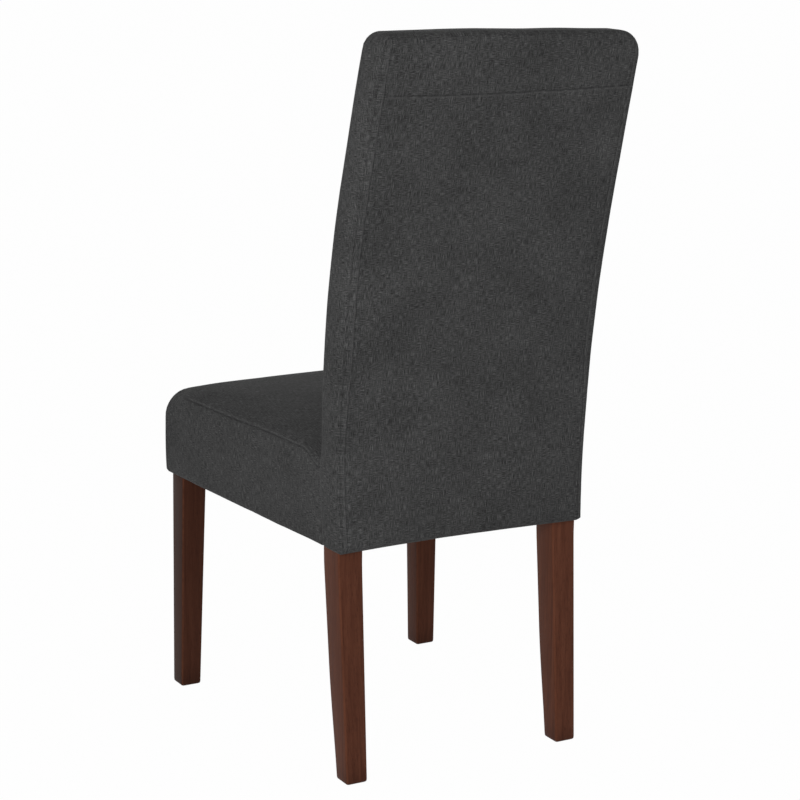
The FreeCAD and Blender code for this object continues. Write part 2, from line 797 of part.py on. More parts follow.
def seat_section(along, inset, lift):
    """An upright slice across the seat: flat sides, rolled hem, crowned top."""
    distance = along - size("seat_front_y") - inset
    half = seat_half_width(along) - inset - roll(distance, size("seat_corner_radius") - inset)
    hem = size("hem_roll")
    bottom = seat_hem(along) + lift + roll(distance, hem)
    top = size("seat_seam_height") - inset - roll(distance, size("seat_front_roll")) - seat_tuck(along)
    crown = []
    for number in range(CROWN_POINTS):
        share = math.cos(math.pi * number / (CROWN_POINTS - 1))
        rise = seat_rise(along) * (1 - abs(share) ** CROWN_POWER)
        crown.append((half * share, top + rise))
    points = quarter_circle((half - hem, bottom + hem), hem, 3, HEM_CORNER_STEPS) + crown
    points += quarter_circle((hem - half, bottom + hem), hem, 2, HEM_CORNER_STEPS)
    return Part.makePolygon([Vector(x, along, z) for x, z in points + points[:1]])


def seat_stations():
    """The places behind the rolled front edge that every layer of the seat is built on."""
    rear = size("back_front_y")
    tuck = size("seat_tuck_length")
    start = size("seat_front_y") + size("seat_front_roll") + size("foam_inset")
    steps = [start + (rear - tuck - start) * step / SEAT_STEPS for step in range(1, SEAT_STEPS + 1)]
    return steps + [rear - tuck * share for share in TUCK_STEPS] + [rear + size("back_corner_radius")]


def seat_form(inset, lift):
    """The seat as a solid. It runs on into the back, which is cut from it later."""
    front = size("seat_front_y") + inset
    places = [front + size("seat_front_roll") * step for step in ROLL_STEPS] + seat_stations()
    return Part.makeLoft([seat_section(along, inset, lift) for along in places], True, True)


def side_prism(points, half_width):
    """A solid whose side view is a closed run of points, as wide as twice the half width."""
    face = Part.Face(Part.makePolygon(points + points[:1]))
    face.translate(Vector(-half_width, 0, 0))
    return face.extrude(Vector(2 * half_width, 0, 0))


def levels_between(bottom, top):
    """A run of levels from bottom to top that follows the back and the shoulder of its posts."""
    bends = back_levels() + [size("lean_start_height"), size("post_shoulder_height")]
    return [bottom] + sorted(level for level in bends if bottom < level < top) + [top]


def lean_prism(front_at, rear_at, half_width, bottom, top):
    """The space between two leaning surfaces."""
    levels = levels_between(bottom, top)
    front = [Vector(0, front_at(level), level) for level in levels]
    rear = [Vector(0, rear_at(level), level) for level in reversed(levels)]
    return side_prism(front + rear, half_width)


def post_front_at(gap):
    return lambda height: value(f"post_front_y + {front_lean(str(height))}") - gap


def post_rear_at(gap):
    return lambda height: value(f"post_rear_y + {lean(str(height))}") + gap


def box_between(low, high):
    return Part.makeBox(high[0] - low[0], high[1] - low[1], high[2] - low[2], Vector(*low))


def half_space(axis, limit, above):
    """A very large box on one side of a plane."""
    low = [-FAR, -FAR, -FAR]
    high = [FAR, FAR, 2 * FAR]
    if above:
        low[axis] = limit
    else:
        high[axis] = limit
    return box_between(low, high)


def leg_holes():
    """Where the legs pass through the cover's hem."""
    gap = size("layer_clearance")
    top = size("rail_top_height")
    bottom = size("hem_height_rear") - size("post_depth")
    holes = []
    for sign in SIDES.values():
        spans = (
            (size("leg_inner_x"), size("leg_outer_x"), size("leg_front_y"), size("leg_rear_y")),
            (size("post_inner_x"), size("post_outer_x"), size("post_front_y"), size("post_rear_y")),
        )
        for inner, outer, front, rear in spans:
            across = sorted((sign * (inner - gap), sign * (outer + gap)))
            holes.append(box_between((across[0], front - gap, bottom), (across[1], rear + gap, top)))
    return holes


def side_region(sign):
    """The part of the back that belongs to a side panel: it wraps both corners."""
    bottom, top = size("hem_height_rear") - MARGIN, size("overall_height") + MARGIN
    wrap = size("back_side_wrap")
    corners = [Vector(sign * (back_half_width(level) - wrap), -FAR, level)
               for level in levels_between(bottom, top)]
    corners += [Vector(sign * FAR, -FAR, top), Vector(sign * FAR, -FAR, bottom)]
    return Part.Face(Part.makePolygon(corners + corners[:1])).extrude(Vector(0, 2 * FAR, 0))


def make_back_soft_goods():
    hem = size("hem_height_rear")
    top = size("overall_height")
    cover = size("cover_thickness")
    gap = size("layer_clearance")
    tuck = size("back_cover_tuck_height")
    depth = size("back_thickness")
    legs = leg_holes()

    front_wrap = size("back_front_wrap")
    seam_plane = lean_prism(lambda height: -FAR, lambda height: back_rear(height) - depth + front_wrap,
                            FAR / 2, hem - MARGIN, top + MARGIN)
    below_tuck = seam_plane.common(half_space(2, tuck, above=False))
    shell = back_form(0.0, hem).cut(back_form(cover, hem + cover)).cut([below_tuck] + legs)
    behind = shell.cut(seam_plane)
    above_seam = half_space(2, size("back_seam_height"), above=True)
    sides = {side: side_region(sign) for side, sign in SIDES.items()}
    for side, region in sides.items():
        keep_shape(solid_of(behind.common(region)), f"back_{side}_panel")
    middle = behind.cut(list(sides.values()))
    keep_shape(solid_of(middle.cut(above_seam)), "back_rear_panel")
    front_wall = shell.common(seam_plane)
    keep_shape(solid_of(front_wall.fuse(middle.common(above_seam))), "back_front_cover")

    bottom = hem + size("wadding_inset")
    wadding = back_form(size("wadding_inset"), bottom).cut(
        back_form(size("wadding_inset") + size("wadding_thickness"), bottom - size("hem_roll") - MARGIN))
    keep_shape(solid_of(wadding.cut([below_tuck] + legs)), "back_wadding")

    inside = back_form(size("foam_inset"), size("rail_bottom_rear"))
    post_side = size("post_outer_x") + gap
    post_top = size("post_top")
    frame = lean_prism(post_front_at(2 * gap), lambda height: post_rear_at(0.0)(height) + FAR, post_side,
                       hem - MARGIN, post_top + gap)
    strap_low = value(back_strap_height(0)) - size("strap_width")
    strap_high = value(back_strap_height(2)) + size("strap_width")
    straps = lean_prism(post_front_at(size("strap_thickness") + 4 * gap), post_rear_at(0.0), post_side,
                        strap_low, strap_high)
    foam = inside.common(half_space(2, tuck, above=True)).cut([frame, straps])
    keep_shape(solid_of(foam), "back_foam")

    board = lean_prism(post_rear_at(size("back_board_front")), post_rear_at(size("back_board_rear")),
                       size("post_outer_x"), size("rail_bottom_rear"), post_top)
    keep_shape(board, "back_rear_board")
    behind_board = lean_prism(post_rear_at(size("back_board_rear") + gap),
                              lambda height: post_rear_at(0.0)(height) + FAR,
                              size("post_outer_x"), size("rail_bottom_rear"), post_top)
    keep_shape(solid_of(inside.common(behind_board)), "back_rear_foam")


def make_seat_soft_goods():
    cover = size("cover_thickness")
    gap = size("layer_clearance")
    flange = size("cover_flange")
    front = size("seat_front_y")
    rear = size("back_rear_y")
    back = back_form(-gap, size("hem_height_rear") - size("post_depth"))
    legs = leg_holes()

    def plan_prism(front_inset, side_inset, low, high):
        """The seat's tapered plan, drawn in from its edges, between two heights."""
        near, far = front + front_inset, rear
        wide, narrow = seat_half_width(near) - side_inset, seat_half_width(far) - side_inset
        face = Part.Face(Part.makePolygon([
            Vector(-wide, near, low), Vector(wide, near, low), Vector(narrow, far, low),
            Vector(-narrow, far, low), Vector(-wide, near, low)]))
        return face.extrude(Vector(0, 0, high - low))

    rail_middle = value("rail_middle_front")
    under = plan_prism(flange, flange, 0.0, rail_middle)
    shell = seat_form(0.0, 0.0).cut(seat_form(cover, cover)).cut([under, back] + legs)

    seam_start = front + size("seat_corner_radius")
    steps = [seam_start, front + size("seat_front_roll")] + seat_stations() + [rear]
    seam = [Vector(0, along, seat_seam(along)) for along in steps]
    below_seam = side_prism(seam + [Vector(0, rear, 0), Vector(0, seam_start, 0)], FAR / 2)
    side_zone = below_seam.cut(plan_prism(-flange, flange + cover, 0.0, FAR))
    for side, sign in SIDES.items():
        panel = shell.common(side_zone).common(half_space(0, 0.0, above=sign > 0))
        keep_shape(solid_of(panel), f"seat_{side}_panel")
    keep_shape(solid_of(shell.cut(side_zone)), "seat_top_cover")

    inset = size("wadding_inset")
    wadding = seat_form(inset, inset).cut(
        seat_form(inset + size("wadding_thickness"), inset - 2 * size("hem_roll")))
    keep_shape(solid_of(wadding.cut([back] + legs)), "seat_wadding")

    inside = seat_form(size("foam_inset"), inset).cut(back)
    foam_bottom = size("foam_bottom")
    keep_shape(solid_of(inside.common(half_space(2, foam_bottom, above=True))), "seat_foam")
    apron = inside.common(half_space(1, size("leg_front_y") - gap, above=False))
    keep_shape(solid_of(apron.common(half_space(2, foam_bottom - gap, above=False))), "seat_front_foam")
    sheet_space = half_space(2, size("insulator_bottom"), above=True).common(
        half_space(2, size("insulator_bottom") + size("insulator_thickness"), above=False))
    rail_zone = half_space(1, size("leg_front_y"), above=True)
    keep_shape(solid_of(inside.common(sheet_space).common(rail_zone)), "seat_insulator")

    dust = size("dust_cover_thickness")
    edge = size("dust_cover_inset")
    ends = (front + edge + size("hem_roll"), size("back_front_y") - gap)
    upper = [Vector(0, along, seat_hem(along) - gap) for along in ends]
    lower = [point - Vector(0, 0, dust) for point in reversed(upper)]
    cloth = side_prism(upper + lower, FAR / 2).common(plan_prism(edge, edge, 0.0, rail_middle))
    keep_shape(solid_of(cloth.cut(legs)), "dust_cover")


def solid_of(shape):
    """The one solid that a cut should leave."""
    solids = shape.Solids
    if len(solids) != 1:
        volumes = [round(solid.Volume, 1) for solid in solids]
        raise ValueError(f"expected one solid, got {len(solids)}: {volumes}")
    return solids[0]


# Putting the frame together

def make_frame():
    screw = make_screw_master()
    screws = []
    screw_holes = []
    for name, start, direction in screw_sites():
        turn = Rotation(Vector(0, 0, 1), direction)
        screws.append(copy_of(screw, "screw_" + name, turn, start))
        screw_holes.append(cylinder("screw_hole_" + name, "screw_diameter + 2 * hole_clearance",
                                    "screw_length + hole_clearance", direction, start))
    keep(compound("corner_block_screws_group", screws), "corner_block_screws")
    staples = keep(make_staples(make_staple_master()), "webbing_staples")

    front_foot = ("foot_outer_x - front_foot_size / 2", "foot_front_y + front_foot_size / 2")
    rear_foot = ("post_outer_x - rear_foot_inset - rear_foot_size / 2",
                 "post_rear_y + kick_at_foot - rear_foot_size / 2")
    for side, sign in SIDES.items():
        for end, (across, along) in (("front", front_foot), ("rear", rear_foot)):
            name = f"{end}_{side}_glide"
            keep(cylinder(name, "glide_diameter", "glide_height", Vector(0, 0, 1),
                          (f"{sign} * ({across})", along, "0")), name)

    screw_group = compound("screw_holes_group", screw_holes)
    front_rail, front_mortises = make_end_rail("front_rail", "leg_inner_x", "leg_front_y",
                                               "rail_bottom_front")
    rear_rail, rear_mortises = make_end_rail("rear_rail", "post_inner_x", "post_front_y",
                                             "rail_bottom_rear")
    keep(cut("front_rail_cut", front_rail, staples), "front_rail")
    keep(cut("rear_rail_cut", rear_rail, staples), "rear_rail")
    back_mortises = []
    for rail in ("lower", "middle", "top"):
        back_rail, mortises = make_back_rail(rail)
        keep(back_rail, f"back_{rail}_rail")
        back_mortises.append(mortises)
    for side in SIDES:
        side_rail, (front_mortise, rear_mortise) = make_side_rail(side)
        keep(cut(f"{side}_rail_cut", side_rail, staples), f"{side}_rail")
        leg_group = compound(f"front_{side}_leg_holes", [front_mortises, front_mortise, screw_group])
        keep(cut(f"front_{side}_leg_cut", make_front_leg(side), leg_group), f"front_{side}_leg")
        post_group = compound(f"rear_{side}_post_holes",
                              back_mortises + [rear_mortises, rear_mortise, screw_group])
        keep(cut(f"rear_{side}_post_cut", make_rear_post(side), post_group), f"rear_{side}_post")
        for end in ("front", "rear"):
            drilled = cut(f"corner_block_{end}_{side}_cut", make_corner_block(end, side), screw_group)
            keep(drilled, f"corner_block_{end}_{side}")
    for number, (row, column) in enumerate(zip(("front", "middle", "rear"), ("left", "middle", "right"))):
        keep(cut(f"cross_strap_{number}_cut", make_cross_strap(number), staples), f"cross_strap_{row}")
        keep(cut(f"long_strap_{number}_cut", make_long_strap(number), staples), f"long_strap_{column}")
    for number, name in enumerate(("lower", "middle", "upper")):
        keep(make_back_strap(number), f"back_strap_{name}")


def check_and_write():
    document.recompute()
    for thing in document.Objects:
        faults = [state for state in thing.State if state in ("Invalid", "Error")]
        if faults:
            raise RuntimeError(f"{thing.Label} is {faults[0]}")
    os.makedirs("parts", exist_ok=True)
    for node in nodes:
        shape = node.Shape
        if shape.isNull() or not shape.isValid() or not shape.Solids:
            raise RuntimeError(f"{node.Label} has no valid shape")
        shape.exportStep(os.path.join("parts", node.Label + ".step"))


make_frame()
make_back_soft_goods()
make_seat_soft_goods()
check_and_write()
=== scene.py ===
import json
import math

import bmesh
import bpy
import numpy as np
from mathutils import Matrix, Vector, kdtree, noise


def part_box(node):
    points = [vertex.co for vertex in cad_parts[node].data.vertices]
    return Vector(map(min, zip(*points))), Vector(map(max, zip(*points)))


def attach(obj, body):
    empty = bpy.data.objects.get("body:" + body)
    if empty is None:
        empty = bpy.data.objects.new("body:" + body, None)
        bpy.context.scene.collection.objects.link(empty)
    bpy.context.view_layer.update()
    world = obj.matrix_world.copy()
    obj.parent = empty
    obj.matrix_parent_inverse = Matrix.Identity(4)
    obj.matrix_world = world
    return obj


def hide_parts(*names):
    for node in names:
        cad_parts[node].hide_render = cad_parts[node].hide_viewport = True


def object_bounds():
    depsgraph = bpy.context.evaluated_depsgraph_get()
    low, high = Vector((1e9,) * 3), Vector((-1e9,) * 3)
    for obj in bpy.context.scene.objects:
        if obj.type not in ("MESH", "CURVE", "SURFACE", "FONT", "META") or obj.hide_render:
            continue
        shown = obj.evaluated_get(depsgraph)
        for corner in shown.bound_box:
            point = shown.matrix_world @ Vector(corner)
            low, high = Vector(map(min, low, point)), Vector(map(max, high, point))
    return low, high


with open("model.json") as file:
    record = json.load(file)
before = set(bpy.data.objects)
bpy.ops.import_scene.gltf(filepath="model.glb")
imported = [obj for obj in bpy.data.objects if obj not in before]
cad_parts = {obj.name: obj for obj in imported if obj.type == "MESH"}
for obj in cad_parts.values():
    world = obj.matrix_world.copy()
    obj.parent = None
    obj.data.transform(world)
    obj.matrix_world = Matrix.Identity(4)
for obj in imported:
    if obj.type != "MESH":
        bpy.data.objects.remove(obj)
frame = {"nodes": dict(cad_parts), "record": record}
cad_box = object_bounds()
nodes = frame["nodes"]

MM = 0.001

# The chair's own measures, from the boxes of the solids

cover_low, cover_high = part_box("back_front_cover")
seat_low, seat_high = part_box("seat_top_cover")
side_low, side_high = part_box("seat_left_panel")
rear_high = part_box("back_rear_panel")[1]

HEM = side_low.z
SEAM_SEAT = side_high.z
SEAT_TOP = seat_high.z
SEAT_FRONT = seat_low.y
SEAT_HALF = cad_box[1].x + 3.2 * MM
TOP = cover_high.z
BACK_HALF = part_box("back_left_panel")[1].x
BACK_FRONT = cover_low.y
SEAM_BACK = rear_high.z
SEAM_REAR = rear_high.x + 5.0 * MM
BACK_THICKNESS = 58 * MM
BACK_REAR = BACK_FRONT + 57 * MM
SEAT_REAR = BACK_FRONT + 4 * MM
FRONT_CORNER = 20 * MM
FRONT_SEAM_INSET = 15 * MM
SECOND_SEAM = 6 * MM

# The back is upright up to LEAN_START, then an arc up to LEAN_END, then straight

LEAN_RADIUS = 1.5
LEAN_START = 0.400
LEAN_END = 0.815

# How far the seat's half width narrows from front to back, and its rounded edges

SEAT_NARROWS = 35.2 * MM
HEM_RADIUS = 6 * MM


# Shape of the back

def lean_slope(z):
    """How far the back moves to the rear for each metre of height"""
    rise = np.clip(z, LEAN_START, LEAN_END) - LEAN_START
    return rise / np.sqrt(LEAN_RADIUS ** 2 - rise ** 2)


def rear_profile(z):
    """Place of the back's rear surface at this height, with a slight flare at the hem"""
    rise = np.clip(z, LEAN_START, LEAN_END) - LEAN_START
    arc = LEAN_RADIUS - np.sqrt(LEAN_RADIUS ** 2 - rise ** 2)
    straight = np.maximum(z - LEAN_END, 0) * lean_slope(LEAN_END)
    flare = 3.2 * MM * np.clip((LEAN_START - z) / (LEAN_START - HEM), 0, 1) ** 1.5
    return BACK_REAR + arc + straight + flare


def back_half_width(z):
    """The back is widest above its middle and narrows to both ends"""
    widest = HEM + 0.6 * (TOP - HEM)
    return BACK_HALF + 0.3 * MM - 7.75 * MM * ((z - widest) / (TOP - widest + 0.137)) ** 2


def rounded(a, b, radius):
    """Where two distances meet, the edge between their surfaces with this radius"""
    inner = np.minimum(np.maximum(a, b), -radius)
    return inner + np.hypot(np.maximum(a + radius, 0), np.maximum(b + radius, 0))


def blend(low, high, value):
    """Rises smoothly from 0 at low to 1 at high"""
    share = np.clip((value - low) / (high - low), 0, 1)
    return share * share * (3 - 2 * share)


def back_distance(p):
    """Distance of each point from the surface of the back pad, less than 0 inside"""
    x, y, z = p[:, 0], p[:, 1], p[:, 2]
    cosine = 1 / np.sqrt(1 + lean_slope(z) ** 2)
    across = x / BACK_HALF
    swell = 1 - np.clip(np.abs(across), 0, 1) ** 4
    rear = (y - rear_profile(z)) * cosine - 0.6 * MM * swell
    thick = BACK_THICKNESS - 2 * MM * blend(HEM, TOP, z)
    crown = 3.5 * MM * swell * blend(0.46, 0.62, z) * (1 - blend(0.90, TOP, z))
    front = -(y - rear_profile(z)) * cosine - thick - crown
    lopsided = 1.1 * MM * blend(0.75, 0.9, z)
    side = np.abs(x - lopsided) - back_half_width(z) + 0.8 * lopsided
    # the upper edge drops towards the sitter's right, where its corner is rounder too
    droop = 2.6 * MM * blend(-0.09, 0.06, -x) + 3.8 * MM * blend(0.04, 0.19, -x)
    top = z - TOP - 0.8 * MM + droop
    corner = 20 * MM + 16 * MM * blend(0, 0.1, -x)
    arch = 4.0 * MM * (1 - across ** 2) * blend(BACK_REAR - 0.04, BACK_REAR, y)
    bottom = HEM - 6.2 * MM + arch - z
    outline = rounded(side, top, corner)
    outline = rounded(outline, bottom, HEM_RADIUS)
    front_edge = 5 * MM + 10 * MM * blend(0.43, 0.47, z)
    lower = rounded(outline, front, front_edge)
    rear_edge = 14.5 * MM + 5.5 * MM * blend(-0.1, 0.1, x)
    return rounded(lower, rear, rear_edge)


# Shape of the seat

def seat_share(y):
    """0 at the front of the seat and 1 where it meets the back"""
    return (y - SEAT_FRONT) / (BACK_FRONT - SEAT_FRONT)


def seat_half_width(y):
    return SEAT_HALF - SEAT_NARROWS * seat_share(y)


def seat_crown(x, y):
    """Height of the seat's top above the seam at its side"""
    share = np.clip(seat_share(y), 0, 1)
    along = np.sin(math.pi * np.clip(share * 0.92 + 0.03, 0, 1)) ** 0.9
    across = 1 - np.clip(np.abs(x) / seat_half_width(y), 0, 1) ** 3.2
    return (SEAT_TOP - SEAM_SEAT) * (0.21 + 0.81 * along * across)


def seat_seam(y):
    """Height of the seam between the seat's side and its top"""
    tail = blend(BACK_FRONT - 55 * MM, BACK_FRONT, y)
    middle = blend(-20 * MM, 90 * MM, y)
    front = 1 - blend(SEAT_FRONT + 20 * MM, SEAT_FRONT + 110 * MM, y)
    return SEAM_SEAT - 0.8 * MM - 1.5 * MM * middle - 18 * MM * tail ** 1.6 + 2.0 * MM * front


def seat_hem(y):
    """Height of the seat's lower edge, which rises towards the front"""
    share = np.clip(seat_share(y), 0, 1)
    return HEM - 4.6 * MM + 8.2 * MM * (1 - share)


def seat_distance(p):
    """Distance of each point from the surface of the seat pad, less than 0 inside"""
    x, y, z = p[:, 0], p[:, 1], p[:, 2]
    side = np.abs(x) - seat_half_width(y)
    side -= 1.2 * MM * np.sin(math.pi * np.clip((z - HEM) / (SEAM_SEAT - HEM), 0, 1))
    top = z - (SEAM_SEAT + seat_crown(x, y))
    top += 14 * MM * blend(BACK_FRONT - 55 * MM, BACK_FRONT + 6 * MM, y)
    front = SEAT_FRONT - y - 0.5 * MM * (1 - (x / SEAT_HALF) ** 2)
    rear = y - SEAT_REAR
    bottom = seat_hem(y) - z
    plan = rounded(side, front, FRONT_CORNER)
    plan = rounded(plan, rear, 4 * MM)
    near_front = 1 - blend(SEAT_FRONT + 10 * MM, SEAT_FRONT + 90 * MM, y)
    solid = rounded(plan, top, 11 * MM + 31 * MM * near_front)
    return rounded(solid, bottom, HEM_RADIUS)


# Mesh helpers

def steps(low, high, pitch, seams=(), fine=(0.6, 1.3, 2.1, 3.2, 4.8, 7.0)):
    """Grid places from low to high, closer together on both sides of each seam"""
    count = max(int(round((high - low) / pitch)), 1)
    places = [low + (high - low) * i / count for i in range(count + 1)]
    for seam in seams:
        places = [p for p in places if abs(p - seam) > fine[-1] * MM * 1.4]
        places.append(seam)
        for offset in fine:
            places += [seam - offset * MM, seam + offset * MM]
    return sorted(set(places + [low, high]))


def box_grid(xs, ys, zs):
    """Points and faces of a closed box, divided at these places"""
    ids, points, faces = {}, [], []

    def point(i, j, k):
        if (i, j, k) not in ids:
            ids[(i, j, k)] = len(points)
            points.append((xs[i], ys[j], zs[k]))
        return ids[(i, j, k)]

    last = (len(xs) - 1, len(ys) - 1, len(zs) - 1)
    for axis in range(3):
        u, v = [a for a in range(3) if a != axis]
        for end in (0, last[axis]):
            for a in range(last[u]):
                for b in range(last[v]):
                    corners = []
                    for da, db in ((0, 0), (1, 0), (1, 1), (0, 1)):
                        place = [0, 0, 0]
                        place[axis], place[u], place[v] = end, a + da, b + db
                        corners.append(point(*place))
                    faces.append(corners)
    return np.array(points), faces


def gradient(distance, points, reach=0.05 * MM):
    """Unit directions in which the distance grows"""
    parts = []
    for axis in range(3):
        shift = np.zeros(3)
        shift[axis] = reach
        parts.append((distance(points + shift) - distance(points - shift)) / (2 * reach))
    slope = np.stack(parts, axis=1)
    return slope / np.maximum(np.linalg.norm(slope, axis=1, keepdims=True), 1e-6)


def settle(distance, points, rounds=10):
    """Moves the points on to the surface where the distance is nought"""
    for _ in range(rounds):
        points = points - gradient(distance, points) * distance(points)[:, None] * 0.9
    return points


def add_mesh(name, points, faces, smooth=True):
    mesh = bpy.data.meshes.new(name)
    mesh.from_pydata([tuple(p) for p in points], [], [tuple(f) for f in faces])
    shape = bmesh.new()
    shape.from_mesh(mesh)
    bmesh.ops.recalc_face_normals(shape, faces=shape.faces)
    shape.to_mesh(mesh)
    shape.free()
    mesh.polygons.foreach_set("use_smooth", [smooth] * len(mesh.polygons))
    piece = bpy.data.objects.new(name, mesh)
    bpy.context.scene.collection.objects.link(piece)
    return piece


def read_points(mesh):
    flat = np.zeros(len(mesh.vertices) * 3)
    mesh.vertices.foreach_get("co", flat)
    return flat.reshape(-1, 3)


def write_points(mesh, points):
    mesh.vertices.foreach_set("co", np.asarray(points, dtype=np.float32).ravel())
    mesh.update()


def give_value(piece, name, values):
    layer = piece.data.attributes.new(name, "FLOAT", "POINT")
    layer.data.foreach_set("value", np.asarray(values, dtype=np.float32))


def waves(along, seed):
    """Small uneven waves between -1 and 1 along a seam"""
    total = 0
    for index, length in enumerate((31.0, 19.0, 12.5, 8.3)):
        total = total + np.sin(along / (length * MM) * 2 * math.pi + seed * (index + 1.7))
    return total / 4


def uneven(points, size, seed):
    """Smooth noise between about -1 and 1"""
    offset = Vector((seed * 3.1, seed * 7.7, seed * 1.3))
    return np.array([noise.noise(Vector(p) / size + offset) for p in points])


# Cloth: the covers swell under pressure over the padding

CLOTH_START = 1.5 * MM
CLOTH_VOXEL = 6 * MM
CLOTH_PRESSURE = 4
CLOTH_FRAMES = 20
CLOTH_SETTINGS = {
    "quality": 5,
    "mass": 0.25,
    "tension_stiffness": 20,
    "compression_stiffness": 20,
    "shear_stiffness": 8,
    "bending_stiffness": 0.6,
    "use_pressure": True,
    "uniform_pressure_force": CLOTH_PRESSURE,
    "vertex_group_mass": "held",
}
# The share of the cloth's move that the pad takes, outwards and inwards
OUTWARD_SHARE = 0.35
INWARD_SHARE = 0.08
NEIGHBOURS = 12


def swell(piece, distance, cap, held):
    """Runs a cloth simulation on a remeshed copy and gives its swelling to the piece"""
    points = read_points(piece.data)
    copy = bpy.data.objects.new("cloth_trial", piece.data.copy())
    bpy.context.scene.collection.objects.link(copy)
    write_points(copy.data, points - gradient(distance, points) * CLOTH_START)
    voxels = copy.modifiers.new("voxels", "REMESH")
    voxels.mode = "VOXEL"
    voxels.voxel_size = CLOTH_VOXEL
    bpy.context.view_layer.update()
    shown = copy.evaluated_get(bpy.context.evaluated_depsgraph_get())
    mesh = bpy.data.meshes.new_from_object(shown)
    copy.modifiers.clear()
    copy.data = mesh
    before = read_points(mesh)
    group = copy.vertex_groups.new(name="held")
    stiff = held(before)
    for index, weight in enumerate(stiff):
        if weight > 0.02:
            group.add([index], float(weight), "REPLACE")
    cloth = copy.modifiers.new("cloth", "CLOTH")
    for name, value in CLOTH_SETTINGS.items():
        setattr(cloth.settings, name, value)
    cloth.settings.effector_weights.gravity = 0
    cloth.point_cache.frame_start = 1
    cloth.point_cache.frame_end = CLOTH_FRAMES
    for number in range(1, CLOTH_FRAMES + 1):
        bpy.context.scene.frame_set(number)
    shown = copy.evaluated_get(bpy.context.evaluated_depsgraph_get())
    after = read_points(shown.data)
    move = after - before
    outward = gradient(distance, before)
    amount = np.clip((move * outward).sum(axis=1), -cap, cap)
    tree = kdtree.KDTree(len(before))
    for index, place in enumerate(before):
        tree.insert(place, index)
    tree.balance()
    spread = np.zeros(len(points))
    for index, place in enumerate(points):
        near = tree.find_n(place, NEIGHBOURS)
        weights = [1 / (gap + 4 * MM) for _, _, gap in near]
        total = sum(w * amount[found] for w, (_, found, _) in zip(weights, near))
        spread[index] = total / sum(weights)
    spread *= np.where(spread > 0, OUTWARD_SHARE, INWARD_SHARE)
    bpy.context.scene.frame_set(1)
    bpy.data.objects.remove(copy)
    write_points(piece.data, points + gradient(distance, points) * spread[:, None])


def seam_profile(gap, depth=0.9, ridge=0.5, side=1):
    """Height across a seam: a narrow groove with a soft ridge on one side of it"""
    gap = gap / MM
    groove = -depth * np.exp(-(gap / 1.0) ** 2)
    bank = ridge * np.exp(-((gap - side * 2.6) / 1.9) ** 2)
    return (groove + bank) * MM


def seam_shade_mask(gap, width=0.9):
    """1 on the seam, fading on both sides, for the dark line of painted shade in the seam's groove in
    its material
    """
    return np.exp(-(gap / (width * MM)) ** 2)


def ridge_highlight_mask(gap, side=1):
    """1 on the ridge beside a seam, where a highlight is painted lighter into the fabric"""
    return np.exp(-((gap / MM - side * 2.2) / 1.0) ** 2)


# The back pad

def back_held(points):
    """How firmly the cloth is held: all round the hem and partly at the rear board"""
    low = 1 - blend(HEM + 10 * MM, HEM + 60 * MM, points[:, 2])
    behind = 0.4 * blend(-20 * MM, -6 * MM, points[:, 1] - rear_profile(points[:, 2]))
    return np.maximum(low, behind)


